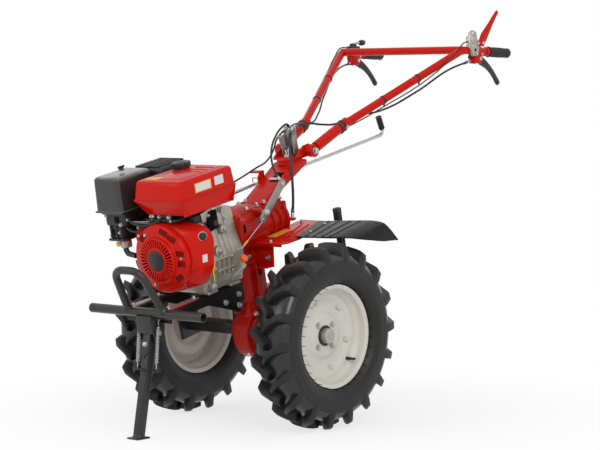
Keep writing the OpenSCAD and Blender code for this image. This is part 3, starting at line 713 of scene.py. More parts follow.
# radius and distance from the wheel's middle, from the bead to the crown
CARCASS = ((158.5, 44), (167, 45), (170, 49), (171, 53), (174, 57), (176, 60), (181, 63.5),
           (183, 66), (186, 66.5), (192, 69.5), (195, 71), (198, 71), (201, 72), (218, 72.2),
           (221, 71.4), (224, 71.8), (232, 71), (236, 70.5), (244, 68), (254, 63), (262, 56),
           (267, 46), (270, 34), (271, 18))
WALL, CROWN = CARCASS[:-5], list(CARCASS[-6:])
WHISKERS = 34
LEFT_WHEEL = LEVEL @ Matrix.Translation((0, WHEEL_Y, 0))
RIGHT_WHEEL = LEVEL @ Matrix.Diagonal((1, -1, 1, 1)) @ Matrix.Translation((0, WHEEL_Y, 0))


def tyre(name, place, body, node, turn):
    """A tyre drawn for the left wheel; turn says where its first bar stands."""
    parts = fresh("tyre", "tread_gloss")
    for side in (1, -1):
        wall = [(r, side * y) for r, y in (*WALL, (262, 40), (160, 40))]
        turned(parts["tyre"], wall, axis=(0, 1, 0), steps=144, closed=True)
    turned(parts["tread_gloss"], CROWN + [(r, -y) for r, y in reversed(CROWN)],
           axis=(0, 1, 0), steps=144, closed=True)
    for side in (1, -1):
        for k in range(LUGS):
            angle = turn + (k + (0 if side > 0 else 0.5)) * tau / LUGS
            copy = lug.copy()
            copy.transform(Matrix.Rotation(angle, 4, "Y") @ Matrix.Diagonal((1, side, 1, 1)))
            parts["tyre"].from_mesh(copy)
            bpy.data.meshes.remove(copy)
    # thin whiskers of rubber that the mould's vents leave beside the bead
    for k in range(WHISKERS):
        spot = Matrix.Rotation(k * tau / WHISKERS, 4, "Y") @ Vector((0, 0, 169))
        sway = Vector((sin(7 * k), 0, cos(5 * k))) * 1.5
        bar(parts["tyre"], spot + Vector((0, 50, 0)), spot + sway + Vector((0, 70, 0)),
            1.1, 0.7, segments=6)
    fit_piece(name, parts, body, [node], place)


tyre("left_drive_tyre", LEFT_WHEEL, "left_wheel", "left_tyre", radians(1.5))
tyre("right_drive_tyre", RIGHT_WHEEL, "right_wheel", "right_tyre", radians(8))
bpy.data.meshes.remove(lug)

# %% [markdown]
# ## Rims and hubs
#
# The rim is rolled from strip: a turned-over flange, a seat for the bead and a deep well. A
# pressed disc is welded inside, and takes the hub's four bolts and six more round its edge. The
# rim is one spun profile and the disc another, and so are the hub's tube and cap.

# %% Rims and hubs
# both: radius and distance from the wheel's middle
RIM = ((166.5, 50), (164.5, 50), (160, 47.5), (154, 45), (152, 40), (151, 26), (148, 22),
       (138, 13), (136.5, 9), (136.5, -16), (138, -20), (149, -30), (152, -34), (153, -46),
       (160, -49), (167, -50), (167, -46), (158, -44), (156, -32), (142, -18), (140, -14),
       (140, 8), (142, 13), (155, 26), (157, 42), (163, 45), (167, 47))
DISC = ((24, 3), (64, 3), (68, 1.5), (78, -6), (82, -7.5), (106, -7.5), (112, -5), (122, 4.5),
        (126, 6), (137, 6), (137, 3), (125, 3), (120, 1), (110, -9), (105, -11.5), (82, -11.5),
        (76, -10), (66, -2), (62, -1), (24, -1))


def round_face(r, degrees, y):
    """A point on the wheel's face: radius, angle up from straight ahead, distance outward."""
    return Vector((r * cos(radians(degrees)), y, r * sin(radians(degrees))))


def wheel(side, place, body):
    """A rim and a hub, drawn for the left wheel and put in their place."""
    paint = fresh("rim_paint", "rubber")
    turned(paint["rim_paint"], RIM, axis=(0, 1, 0), steps=120, closed=True)
    turned(paint["rim_paint"], [(r, y + 3) for r, y in DISC], axis=(0, 1, 0), steps=120,
           closed=True)
    for degrees in (11, 71, 131, 191, 251, 311):
        bolt(paint, round_face(113, degrees, 1), size=8.5, stud=2, finish="rim_paint")
    stem = round_face(133, 218, 8)
    bar(paint["rubber"], stem, stem + Vector((0, 26, 0)), 5.5, 4, tip=1.5)
    bar(paint["rubber"], stem + Vector((0, 22, 0)), stem + Vector((0, 36, 0)), 4.2, tip=1)
    fit_piece(side + "_steel_rim", paint, body, [side + "_rim"], place)
    hub = fresh("grey_tube", "zinc", "rubber", "cast_alloy")
    turned(hub["grey_tube"], [(0, -276), (20, -276), (20, -262), (26, -260), (26, -218),
                              (20, -216), (20, -200), (0, -200)], axis=(0, 1, 0))
    box(hub["grey_tube"], (-19, -219, -19), (19, -6, 19), 2.5)
    box(hub["grey_tube"], (-46, -9, -46), (46, 0.5, 46), 3)
    bmesh.ops.rotate(hub["grey_tube"], verts=hub["grey_tube"].verts, cent=(0, 0, 0),
                     matrix=Matrix.Rotation(radians(15), 3, "Y"))
    turned(hub["rubber"], [(0, 2), (32, 2), (33, 4), (33, 8), (31, 10), (0, 10)], axis=(0, 1, 0))
    turned(hub["cast_alloy"], [(0, 6), (25, 6), (25, 24), (23.5, 26.5), (21, 27), (8, 27),
                               (7, 25.8), (0, 25.8)], axis=(0, 1, 0))
    bar(hub["zinc"], (0, 25, 0), (0, 27.6, 0), 2.6, segments=6)
    for k in range(4):
        bolt(hub, round_face(49, 45 + 90 * k, 7), size=9.5, stud=3)
    fit_piece(side + "_wheel_hub", hub, body, [side + "_hub"], place)


wheel("left", LEFT_WHEEL, "left_wheel")
wheel("right", RIGHT_WHEEL, "right_wheel")

# %% [markdown]
# ## The fan shroud
#
# The shroud is one pressing that guides the flywheel's air over the cylinder. Its front is
# domed and its outline is a chain of round corners, so each station is a handful of circles
# and the skin is their hull. More stations towards the front give the rounded shoulder.

# %% Fan shroud
CRANK_Z = 339   # height of the crankshaft over the axle
# station along the machine: centres across and up from the crankshaft, radius
SHROUD = {
    290: ((-6, 0, 120), (-104, 66, 28), (118, 50, 44), (105, -20, 44), (80, -55, 44)),
    325: ((-5, 0, 118), (-103, 65, 28), (108, 49, 44), (95, -19, 44), (71, -52, 44)),
    340: ((-4, 0, 113), (-101, 65, 26), (90, 47, 43), (78, -17, 43), (56, -48, 43)),
    349: ((-3, 0, 106), (-98, 63, 22), (70, 45, 39), (60, -15, 39), (40, -44, 39)),
    352: ((-2, 0, 100), (-94, 61, 18), (58, 44, 36)),
}

parts = fresh("red_paint", "black_plastic", "label_white", "zinc")
bm = parts["red_paint"]
for along, circles in SHROUD.items():
    for y, z, radius in circles:
        centre = Matrix.Translation((along, y, CRANK_Z + z))
        bmesh.ops.create_circle(bm, segments=48, radius=radius,
                                matrix=centre @ Matrix.Rotation(pi / 2, 4, "Y"))
hull_of(bm, bm.verts)
# stop switch: a round rocker in its bezel, square on the sloping side
out = Vector((0.52, 0.85, 0.1)).normalized()
at = Vector((321, 146, 407)) + 3 * out
bar(parts["zinc"], at - 9 * out, at + 1 * out, 14.5, tip=1)
bar(parts["black_plastic"], at - 6 * out, at + 4 * out, 13, tip=1.5)
bar(parts["black_plastic"], at, at + 7 * out, 9, tip=2.5)
# blank plates, each laid on the skin nearest to it
skin = BVHTree.FromBMesh(bm)
for spot, up, width, height in (((323, 146, 336), (0, 0, 1), 17, 25),
                                ((356, -95, 404), (0, 0.15, 1), 25, 9)):
    at, out, _, _ = skin.find_nearest(Vector(spot))
    up = (Vector(up) - out * out.dot(Vector(up))).normalized()
    across = up.cross(out)
    at = at + 2.6 * out
    ring = [at + across * a * width / 2 + up * b * height / 2
            for a, b in ((-1, -1), (1, -1), (1, 1), (-1, 1))]
    plate(parts["label_white"], ring, out * -3)
for y, z in ((-30, 132), (44, 118), (-106, 92), (62, -86)):
    bolt(parts, (346, y, CRANK_Z + z), (1, 0, 0), 5)
fit_piece("fan_shroud", parts, "chassis", ["blower_housing"], angle=24)

# %% [markdown]
# ## The recoil starter's cover
#
# A drum with a rounded rim sits on a broad flange. Its face is pierced by a ring of radial
# slots, and the flange by groups of short louvres. The profile is spun with two steps to each
# slot, so every other face of one ring can be pushed in, and the floor of each slot gets a
# near-black face of painted shade. Each group of louvres is one row of slits, painted as
# near-black shade, in a small raised frame.

# %% Recoil starter
SLOTS, SLOTS_FROM, SLOTS_TO, SLOT_DEPTH = 36, 40, 70, 9
LOUVRE_PITCH = 7
# groups of louvres: middle across and up from the crankshaft, turn in degrees, slits
LOUVRES = ((30, 88, -24, 5), (62, 69, -24, 5), (90, 22, 0, 5), (91, -10, 0, 5), (74, -56, 30, 5),
           (-66, 66, 45, 4))

parts = fresh("red_paint", "painted_recess_shade", "black_plastic", "zinc")
bm, recess_shade = parts["red_paint"], parts["painted_recess_shade"]
face = 392   # where the drum's face lies along the machine
turned(bm, [(0, 352), (111, 352), (111, 366), (109, 370), (104, 373), (78, 374.5), (75, 376),
            (73.8, 378), (73.4, face - 6), (72.6, face - 3), (71, face - 1), (69, face),
            (41, face), (39, face + 1.5), (35, face + 1.5), (34, face + 0.5),
            (0, face + 0.5)], centre=(0, 0, CRANK_Z), steps=2 * SLOTS)
bmesh.ops.recalc_face_normals(bm, faces=bm.faces)
ring = []
for f in bm.faces:
    out = [Vector((v.co.y, v.co.z - CRANK_Z)).length for v in f.verts]
    if min(out) > SLOTS_FROM and max(out) < SLOTS_TO and abs(f.normal.x) > 0.99:
        middle = f.calc_center_median()
        ring.append((atan2(middle.z - CRANK_Z, middle.y), f))
for _, f in sorted(ring, key=lambda pair: pair[0])[::2]:
    bmesh.ops.inset_individual(bm, faces=[f], thickness=0.6)
    bmesh.ops.translate(bm, verts=f.verts, vec=(-SLOT_DEPTH, 0, 0))
    # the floor of each slot: a near-black face of painted shade
    recess_shade.faces.new([recess_shade.verts.new(v.co + Vector((0.3, 0, 0))) for v in f.verts])
turned(parts["black_plastic"], [(0, face), (33, face), (33, face + 1.8), (31, face + 3),
                                (0, face + 3)], centre=(0, 0, CRANK_Z))
for y, z, turn, slits in LOUVRES:
    lie = Matrix.Translation((373.6, y, CRANK_Z + z)) @ Matrix.Rotation(radians(turn), 4, "X")
    half = LOUVRE_PITCH / 2 * slits + 1
    panel = box(bm, (-3, -half, -11), (0.9, half, 11))
    bmesh.ops.transform(bm, matrix=lie, verts=panel)
    soften(bm, edges_of(panel), 0.7, 2)
    for k in range(slits):
        across = LOUVRE_PITCH * (k - (slits - 1) / 2)
        # each slit is a near-black box of painted shade
        slit = box(recess_shade, (0.2, across - 2, -9), (1.5, across + 2, 9))
        bmesh.ops.transform(recess_shade, matrix=lie, verts=slit)
for degrees in (5, 125, 245):
    spot = Vector((373, 92 * cos(radians(degrees)), CRANK_Z + 92 * sin(radians(degrees))))
    bolt(parts, spot, (1, 0, 0), 5)
fit_piece("recoil_cover", parts, "chassis", ["recoil_starter"])

# %% [markdown]
# ## The fuel tank
#
# Two deep pressings meet at a welded seam. Each half is a box whose far corners are pulled in,
# with its edges rounded, and the seam is a thin lip that stands a few millimetres proud. Its
# plates are blank.

# %% Fuel tank
# seam outline and its height, then top and bottom outlines
SEAM_LO, SEAM_HI, SEAM_Z = (123, -75), (386, 140), 529
TOP_LO, TOP_HI, TOP_Z = (134, -60), (374, 136), 590
LOW_LO, LOW_HI, LOW_Z = (150, -30), (362, 131), 491


def pressing(bm, wide_lo, wide_hi, wide_z, far_lo, far_hi, far_z, radius):
    """Half a tank: a box between two heights whose far end has its own outline."""
    verts = bmesh.ops.create_cube(bm, size=2)["verts"]
    for v in verts:
        far = v.co.z > 0
        lo, hi = (far_lo, far_hi) if far else (wide_lo, wide_hi)
        v.co = (lo[0] if v.co.x < 0 else hi[0], lo[1] if v.co.y < 0 else hi[1],
                far_z if far else wide_z)
    # the edges along the seam stay sharp
    away = {e for e in edges_of(verts) if max(abs(v.co.z - wide_z) for v in e.verts) > 1}
    soften(bm, away, radius, 5)


parts = fresh("red_paint", "label_yellow", "label_white")
bm = parts["red_paint"]
wide_lo = (SEAM_LO[0] + 4, SEAM_LO[1] + 4)
wide_hi = (SEAM_HI[0] - 4, SEAM_HI[1] - 4)
pressing(bm, wide_lo, wide_hi, SEAM_Z, TOP_LO, TOP_HI, TOP_Z, 12)
pressing(bm, wide_lo, wide_hi, SEAM_Z, LOW_LO, LOW_HI, LOW_Z, 14)
lip = box(bm, (*SEAM_LO, SEAM_Z - 1.6), (*SEAM_HI, SEAM_Z + 1.6))
upright = {e for e in edges_of(lip) if abs(e.verts[0].co.z - e.verts[1].co.z) > 1}
soften(bm, upright, 16, 5)
# raised panel on top, behind the cap, and its shallow cross ribs
box(bm, (150, -22, TOP_Z - 4), (345, 112, TOP_Z + 1.2), 1.2)
for x in (176, 206, 236):
    box(bm, (x, 20, TOP_Z - 2), (x + 5, 100, TOP_Z + 3), 1.4)
# blank plates: one on top, and a large and a small one on the near side
box(parts["label_yellow"], (322, -40, TOP_Z - 2), (352, 18, TOP_Z + 1.5), 0.4)
slope = (TOP_HI[1] - wide_hi[1]) / (TOP_Z - SEAM_Z)
for part, x0, x1, z0, z1 in (("label_yellow", 238, 312, 541, 571),
                             ("label_white", 242, 308, 544, 568),
                             ("label_white", 182, 222, 545, 572)):
    lift = 0.6 if part == "label_yellow" else 1.1
    corners = [(x, wide_hi[1] + slope * (z - SEAM_Z) + lift, z)
               for x, z in ((x0, z0), (x1, z0), (x1, z1), (x0, z1))]
    plate(parts[part], corners, (0, -3, 0))
# the two feet that it stands on
for x in (160, 258):
    box(bm, (x, -20, 450), (x + 24, 60, 494), 2)
fit_piece("tank_shell", parts, "chassis", ["fuel_tank"])

# %% [markdown]
# ## The fuel cap
#
# A low moulded cap with a scalloped rim for the fingers. The rim is a circle whose points are
# pulled in by a wave, drawn up and rounded at its top edge.

# %% Fuel cap
CAP_AT, FINGER_GROOVES = (195, -26), 10

bm = bmesh.new()
bar(bm, (*CAP_AT, TOP_Z - 2), (*CAP_AT, TOP_Z + 8), 26)
rim = bmesh.ops.create_circle(bm, cap_ends=True, segments=120, radius=31.5,
                              matrix=Matrix.Translation((*CAP_AT, TOP_Z + 5)))["verts"]
for v in rim:
    side = Vector((v.co.x - CAP_AT[0], v.co.y - CAP_AT[1]))
    wave = 1 - 0.09 * max(0, cos(FINGER_GROOVES * atan2(side.y, side.x))) ** 2
    v.co.x, v.co.y = CAP_AT[0] + side.x * wave, CAP_AT[1] + side.y * wave
top = points_in(bmesh.ops.extrude_face_region(bm, geom=rim[0].link_faces[:],
                                              use_keep_orig=True)["geom"])
bmesh.ops.translate(bm, verts=top, vec=(0, 0, 15.5))
soften(bm, edges_within(top), 3.5, 4)
bar(bm, (*CAP_AT, TOP_Z + 19), (*CAP_AT, TOP_Z + 22), 17, tip=1.5)
fit_piece("filler_cap", {"black_plastic": bm}, "chassis", ["fuel_cap"])

# %% [markdown]
# ## The air filter's hood
#
# A big soft-cornered hood covers the filter and is held by a wing nut. It is a box that
# narrows a little upwards, with wide soft edges on top, on a thin rim.

# %% Air filter
parts = fresh("lid_plastic", "black_plastic")
bm = parts["lid_plastic"]
verts = box(bm, (242, -228, 492), (402, -110, 603))
for v in verts:
    if v.co.z > 600:
        v.co.x += 3 if v.co.x < 300 else -3
        v.co.y += 3 if v.co.y < -150 else -3
# all edges but the four at the bottom
soften(bm, {e for e in edges_of(verts) if max(v.co.z for v in e.verts) > 550}, 14, 6)
box(bm, (240.5, -229.5, 488), (403.5, -109, 494), 2)
box(bm, (252, -216, 480), (392, -120, 492), 4)
knob = parts["black_plastic"]
bar(knob, (322, -166, 610), (322, -166, 618), 9, 7, tip=1)
for side in (1, -1):
    ear = box(knob, (322, -168.5, 613), (322 + 14 * side, -163.5, 625))
    for v in ear:
        if abs(v.co.x - 322) > 7 and v.co.z < 620:
            v.co.z += 5
    soften(knob, edges_of(ear), 1.8)
fit_piece("filter_hood", parts, "chassis", ["filter_lid", "air_filter"])

# %% [markdown]
# ## The carburettor
#
# Under the hood sit the filter's housing, the carburettor with its linkage, a sediment bowl
# and a breather elbow. They are small and crowded, so each is a box, bar or bolt of its own,
# and the hoses and rods between them give the dark, busy look of the gap under the tank.

# %% Carburettor
parts = fresh("black_plastic", "zinc", "yellow_plastic", "cast_alloy", "painted_recess_shade",
              "orange_plastic", "rubber")
black, zinc, yellow, alloy, recess_shade, orange, rubber = parts.values()
for lo, hi, radius in (((268, -212, 440), (384, -122, 492), 10),
                       ((284, -206, 398), (378, -144, 444), 8),
                       ((280, -210, 392), (384, -138, 400), 3)):
    box(black, lo, hi, radius, 4)
for y in (-196, -172, -150):
    box(black, (372, y - 4, 402), (382, y + 4, 470), 2)
# near-black patches of painted shade in the gaps between the ribs
box(recess_shade, (377, -192, 410), (379.5, -176, 432), 1)
box(recess_shade, (383, -168, 452), (384.8, -146, 474), 1)
for at, axis, size in (((384, -204, 476), (1, 0, 0), 6), ((384, -142, 448), (1, 0, 0), 6),
                       ((300, -206, 420), (0, -1, 0), 6), ((378, -160, 420), (1, 0, 0), 5),
                       ((378, -200, 408), (1, 0, 0), 4)):
    bolt(parts, at, axis, size, 2)
# sediment bowl, the taps above it and the breather
turned(alloy, [(0, 0), (17, 0), (19, 3), (19, 22), (15, 27), (0, 27)],
       centre=(352, -166, 366), axis=(0, 0, 1))
bar(yellow, (368, -178, 382), (378, -182, 378), 7.5, tip=1.5)
bar(yellow, (356, -166, 392), (356, -166, 384), 12)
bar(orange, (366, -150, 392), (366, -150, 384), 7, tip=1)
bar(black, (268, -188, 426), (300, -188, 426), 18)
sweep(rubber, [(356, -166, 386), (356, -166, 346), (362, -118, 342)], 9, 16)
bar(zinc, (356, -166, 372), (356, -166, 366), 10.4)
# throttle linkage and fuel line in the gap under the tank
sweep(rubber, [(372, -120, 462), (374, -84, 448), (364, -40, 446), (352, 2, 458)], 4)
sweep(rubber, [(376, -128, 436), (372, -96, 424), (358, -54, 440), (330, -30, 462)], 3.4)
sweep(zinc, [(366, -132, 456), (352, -66, 452), (322, 10, 458)], 1.4, 4)
sweep(zinc, [(360, -128, 450), (344, -62, 446), (318, 4, 452)], 1.0, 4)
bar(zinc, (372, -132, 462), (372, -116, 462), 6)
side_plate(alloy, [(310, 446), (344, 444), (350, 462), (316, 468)], -40, -36, 1)
fit_piece("carburettor_group", parts, "chassis", ["carburettor"])

# %% [markdown]
# ## The silencer
#
# A hot drum hides inside a pressed guard with rows of slots in its top and sides. The guard is
# a rounded box whose slots are near-black strips of painted shade between raised bars. Its pipe
# comes from the cylinder's head, so the pipe is drawn in the cylinder's own leaning axes.

# %% Silencer
# turns a point round the crankshaft, from upright axes to those of the leaning cylinder
CYLINDER_LEAN = Matrix.Translation((0, 0, CRANK_Z)) @ Matrix.Rotation(radians(155), 4, "X")

parts = fresh("soot_steel", "painted_recess_shade", "zinc")
bm, recess_shade = parts["soot_steel"], parts["painted_recess_shade"]
y = -149   # the guard's middle across the machine
box(bm, (106, y - 64, 488), (232, y + 64, 598), 14, 5)
box(bm, (102, y - 67, 486), (236, y + 67, 494), 3)
# the top slots: near-black strips of painted shade
box(recess_shade, (113, y - 52, 590), (225, y + 52, 598.6), 2)
for k in range(9):
    x = 113 + 13.8 * k
    box(bm, (x - 3, y - 54, 594), (x + 3, y + 54, 602), 2.2)
box(bm, (108, y - 4, 594), (230, y + 4, 601.5), 2)
# side and end slots: near-black strips of painted shade
for side in (-1, 1):
    for k in range(8):
        x = 120 + 14 * k
        box(recess_shade, (x, y + side * 62, 520), (x + 5, y + side * 64.6, 578), 1)
for k in range(7):
    left = y - 48 + 14 * k
    box(recess_shade, (229, left, 520), (232.6, left + 5, 578), 1)
for x, z in ((108, 505), (108, 575)):
    bolt(parts, (x, y - 40, z), (-1, 0, 0), 6)
bar(bm, (118, y - 20, 540), (96, y - 20, 540), 13)
# the pipe's mouth is a near-black disc of painted shade
bar(recess_shade, (98, y - 20, 540), (95.6, y - 20, 540), 11)
bar(bm, CYLINDER_LEAN @ Vector((188, 176, -62)), CYLINDER_LEAN @ Vector((188, 176, -102)), 16)
fit_piece("silencer", parts, "chassis", ["muffler", "muffler_shield"])

# %% [markdown]
# ## The cylinder
#
# The cylinder is a die casting in bare alloy. It leans far over to one side and carries deep
# cooling fins. It is drawn upright along Y, as a stack of thin rounded slabs between the barrel
# and the head, and turned into its lean at the end.

# %% Cylinder
FINS, FIN_PITCH = 10, 12

parts = fresh("cast_alloy", "zinc")
bm = parts["cast_alloy"]
box(bm, (150, 84, -46), (260, 205, 46), 8)
for k in range(FINS):
    fin = 92 + FIN_PITCH * k
    box(bm, (138, fin, -60), (266, fin + 4, 60), 1.6, 2)
box(bm, (146, 201, -50), (262, 222, 50), 4)
box(bm, (152, 218, -44), (262, 252, 44), 12, 4)
bmesh.ops.transform(bm, matrix=CYLINDER_LEAN, verts=bm.verts)
for x in (160, 252):
    for z in (-34, 34):
        bolt(parts, CYLINDER_LEAN @ Vector((x, 252, z)),
             CYLINDER_LEAN.to_3x3() @ Vector((0, 1, 0)), 6)
fit_piece("cylinder_casting", parts, "chassis", ["cylinder"])

# %% [markdown]
# ## The crankcase
#
# The case is cast in two halves that meet at a flange. It has upright ribs, round bosses and
# four feet. One outline seen from the front serves for the case and, a little larger, for both
# flanges, and every edge is rounded.

# %% Crankcase
# outline: across and up from the crankshaft
CASE = ((-116, -132), (-116, -60), (-112, 20), (-40, 112), (62, 112), (79, 102), (93, 20),
        (107, -31), (101, -92), (88, -114), (88, -132))
# middle of the engine bed's two rails across the machine, and the side that each is on
RAILS = ((78, 1), (-116, -1))


def crosswise(bm, outline, x0, x1, radius=0.0, bend=0.0):
    """A plate that stands across the machine: an outline of (y, z from the crankshaft)."""
    points = [(x0, y, CRANK_Z + z) for y, z in outline]
    if bend:
        points = rounded_outline(points, bend)
    return plate(bm, points, (x1 - x0, 0, 0), radius)


def crankcase(parts):
    """The casting with its flanges, ribs, bosses, feet and bolts."""
    bm = parts["cast_alloy"]
    crosswise(bm, CASE, 106, 289, 4, 16)
    flange = [(y * 1.035, z * 1.03) if z > -120 else (y, z) for y, z in CASE]
    for x0, x1 in ((150, 157), (278, 284)):
        crosswise(bm, flange, x0, x1, 1.5, 16)
    crosswise(bm, [(-30, 96), (66, 96), (84, 118), (-30, 118)], 146, 226, 3)
    # upright ribs between the two flanges, on the visible side
    for x in (176, 198, 220, 242, 262):
        crosswise(bm, [(60, 96), (80, 104), (97, 20), (111, -31), (105, -90), (80, -90)],
                  x, x + 4, 1.2)
    box(bm, (160, 88, 300), (240, 112, 306), 2)
    box(bm, (156, 84, 262), (250, 108, 269), 2)
    # bosses of the governor and the oil sensor, and the filler's neck
    bar(bm, (180, 80, 392), (180, 106, 392), 17, 14, tip=2)
    bar(bm, (222, 84, 330), (222, 113, 330), 19, 16, tip=2)
    bar(bm, (250, 84, 276), (250, 110, 276), 11, tip=2)
    bar(bm, (147, 92, 236), (147, 135, 267), 12, 11)
    bar(bm, (262, 70, 226), (262, 112, 226), 12, tip=2)
    for at, size in (((180, 106, 392), 7), ((222, 113, 330), 8), ((250, 110, 276), 8),
                     ((262, 112, 226), 8), ((164, 100, 424), 6), ((268, 96, 424), 6),
                     ((166, 111, 300), 6), ((268, 110, 300), 6), ((166, 106, 254), 6)):
        bolt(parts, at, (0, 1, 0), size, 1)
    for y, s in RAILS:
        for x in (150, 255):
            box(bm, (x - 22, y - 32 * s, 199), (x + 22, y + 14 * s, 209), 3)
            bolt(parts, (x - 10, y - 2 * s, 209), (0, 0, 1), 8, 6)


meshes = fresh("cast_alloy", "zinc", "yellow_plastic", "black_plastic", "painted_recess_shade")
crankcase(meshes)
print("crankcase:", len(meshes["cast_alloy"].faces), "faces cast")

# %% [markdown]
# ## Fittings on the crankcase
#
# Brackets, a control plate with the speed lever, a heat shield and two yellow leads hang on
# the near side, under the tank. They join the same piece, because nothing moves them apart.

# %% Fittings on the crankcase
def case_fittings(parts):
    """What is bolted to the case and lies against it."""
    alloy, zinc, yellow, black, recess_shade = parts.values()
    side_plate(alloy, [(206, 436), (262, 432), (268, 462), (220, 470)], 96, 99, 1)
    side_plate(alloy, [(150, 448), (196, 444), (206, 466), (160, 470)], 74, 78, 1)
    bolt(parts, (238, 99, 450), (0, 1, 0), 6, 4)
    bolt(parts, (182, 78, 458), (0, 1, 0), 6, 3)
    box(black, (268, 60, 436), (296, 98, 462), 4)
    # control plate under the tank, the speed lever with its spring, and a heat shield
    box(black, (150, -70, 452), (348, 66, 462), 3)
    box(black, (300, -50, 460), (342, 40, 478), 5)
    # the heat shield is a plate in the near-black of painted shade
    side_plate(recess_shade, [(196, 404), (236, 396), (246, 440), (232, 462), (200, 462)], 98, 103, 1.5)
    for y, size in ((-44, 6), (-8, 6), (34, 7)):
        bolt(parts, (342, y, 468), (1, 0, 0), size, 2)
    bar(zinc, (262, 92, 470), (262, 92, 484), 7, tip=1)
    bar(zinc, (206, 92, 462), (206, 92, 480), 9, tip=1)
    bar(black, (216, 98, 420), (216, 112, 420), 11, tip=2)
    for start, bow in ((0, 0), (5, 3)):
        sweep(yellow, [(268 - start, 112, 372), (256 - bow, 120, 356), (270 - start, 121, 338),
                       (258, 120, 312), (268 - bow, 117, 276), (262 + bow, 114, 244)], 2.0)
    sweep(yellow, [(286, 112, 356), (266, 120, 350), (244, 121, 362)], 2.0)
    box(yellow, (256, 112, 352), (272, 122, 364), 2)


case_fittings(meshes)
fit_piece("crankcase_casting", meshes, "chassis", ["crankcase"])

# %% [markdown]
# ## The oil filler's knob
#
# A bright knob closes the neck and carries the dipstick. It is a short taper in which every
# other pair of points, one below and one above, is pulled in, as the ribs of a moulded cap.

# %% Dipstick
bm = bmesh.new()
out = Vector((0, 8, 6)).normalized()
at = Vector((149, 136.5, 283))
bar(bm, at, at + 6 * out, 10)
knob = bar(bm, at + 6 * out, at + 15 * out, 13.5, 12.5, segments=60)
for k, v in enumerate(knob):
    away = v.co - at
    side = away - away.dot(out) * out
    v.co -= side * 0.12 * (k // 2 % 2)
soften(bm, {e for e in edges_of(knob) if e.calc_length() < 3}, 0.6, 2)
fit_piece("oil_filler_knob", {"orange_plastic": bm}, "chassis", ["dipstick"])

# %% [markdown]
# ## The gear case
#
# Two red castings carry everything else. The gear case is a tall column with a round foot
# round the axle, bosses, a bolted joint and corner ribs. It is put together from boxes and a
# drum that run into each other, as the pattern for a casting is, and every edge is rounded.

# %% Gear case
parts = fresh("red_cast", "zinc", "black_plastic")
bm = parts["red_cast"]
drum = bar(bm, (-13, -34, -13), (-13, 34, -13), 86, segments=96)
rims = {e for e in edges_of(drum) if abs(e.verts[0].co.y - e.verts[1].co.y) < 1e-3}
soften(bm, rims, 7, 4)
box(bm, (-8, -34, 104), (98, 34, 279), 8, 3)
box(bm, (-8, -33, -6), (42, 33, 116), 8, 3)
box(bm, (-70, -24, 0), (0, 24, 279), 6, 3)
box(bm, (-40, -48, 229), (80, 48, 279), 6, 3)
box(bm, (-160, -34, 0), (-60, 34, 120), 6, 3)
side_plate(bm, [(-76, 60), (52, 60), (104, 116), (104, 226), (-76, 226)], -9, 9, 3)
for side in (1, -1):
    # raised flange down the joint of the two halves, then the axle's boss and cover
    box(bm, (-10, 30 * side, 62), (-2, 45 * side, 230), 2)
    bar(bm, (0, 38 * side, 0), (0, 62 * side, 0), 50, 44, tip=4)
    turned(bm, [(0, 30), (66, 30), (68, 32), (68, 39), (65, 42), (0, 42)],
           axis=(0, side, 0), centre=(-13, 0, -10))
    for degrees in range(15, 375, 60):
        at = Vector((-13 + 56 * cos(radians(degrees)), 42 * side, 56 * sin(radians(degrees)) - 10))
        bolt(parts, at, (0, side, 0), 7)
    for x, z in ((26, 62), (84, 136), (84, 182), (-100, 60)):
        bar(bm, (x, 30 * side, z), (x, 42 * side, z), 11, tip=2)
        bolt(parts, (x, 42 * side, z), (0, side, 0), 8, 2)
    for x in (-30, 20, 66):
        bolt(parts, (x, 48 * side, 254), (0, side, 0), 8)
    side_plate(bm, [(-36, 279), (-36, 180), (-26, 180), (-20, 279)], 30 * side, 46 * side, 1.5)
bar(parts["black_plastic"], (-70, -20, 250), (-82, -20, 250), 11, tip=2)
bar(parts["zinc"], (46, 10, -66), (53, 10, -75), 9, segments=6)
fit_piece("gear_case", parts, "chassis", ["gearbox"])

# %% [markdown]
# ## The clutch housing
#
# Above the gear case, a barrel widens to the engine's flange. It has rings at its rear, flat
# pads on top, lengthwise ribs and an inspection hole. Barrel and rings are profiles spun round
# the crankshaft's line, and each rib is a thin plate that stands on the barrel.

# %% Clutch housing
RIB_DEGREES = (20, -14, -50, 160, 194, 230, 48, 132)   # round the barrel, from the left side
RIB = ((-58, 66), (-50, 74), (70, 92), (94, 104), (94, 80))   # along it, and out from its line

parts = fresh("red_cast", "zinc", "painted_recess_shade", "rubber")
bm = parts["red_cast"]
turned(bm, [(0, -78), (64, -78), (67, -75), (67, -64), (72, -62), (91, 88), (96, 91),
            (105, 91), (107, 93), (107, 103), (105, 105), (0, 105)],
       centre=(0, 0, CRANK_Z), steps=96)
turned(bm, [(0, -192), (36, -192), (38, -190), (38, -184), (57, -184), (60, -181),
            (60, -180), (66, -178), (67, -176), (67, -170), (66, -168), (60, -166),
            (60, -148), (66, -146), (67, -144), (67, -138), (66, -136), (60, -134),
            (60, -114), (66, -112), (67, -110), (67, -104), (66, -102), (60, -100), (60, -76),
            (0, -76)], centre=(0, 0, CRANK_Z - 4), steps=96)
box(bm, (-66, -50, 362), (10, 50, 408), 5)
box(bm, (-165, -50, 362), (-70, 50, 402), 4)
for degrees in RIB_DEGREES:
    up = Vector((0, cos(radians(degrees)), sin(radians(degrees))))
    flat = Vector((0, -up.z, up.y))
    corners = [Vector((x, 0, CRANK_Z)) + up * r + flat * 3 for x, r in RIB]
    plate(bm, corners, -6 * flat, 1.2)
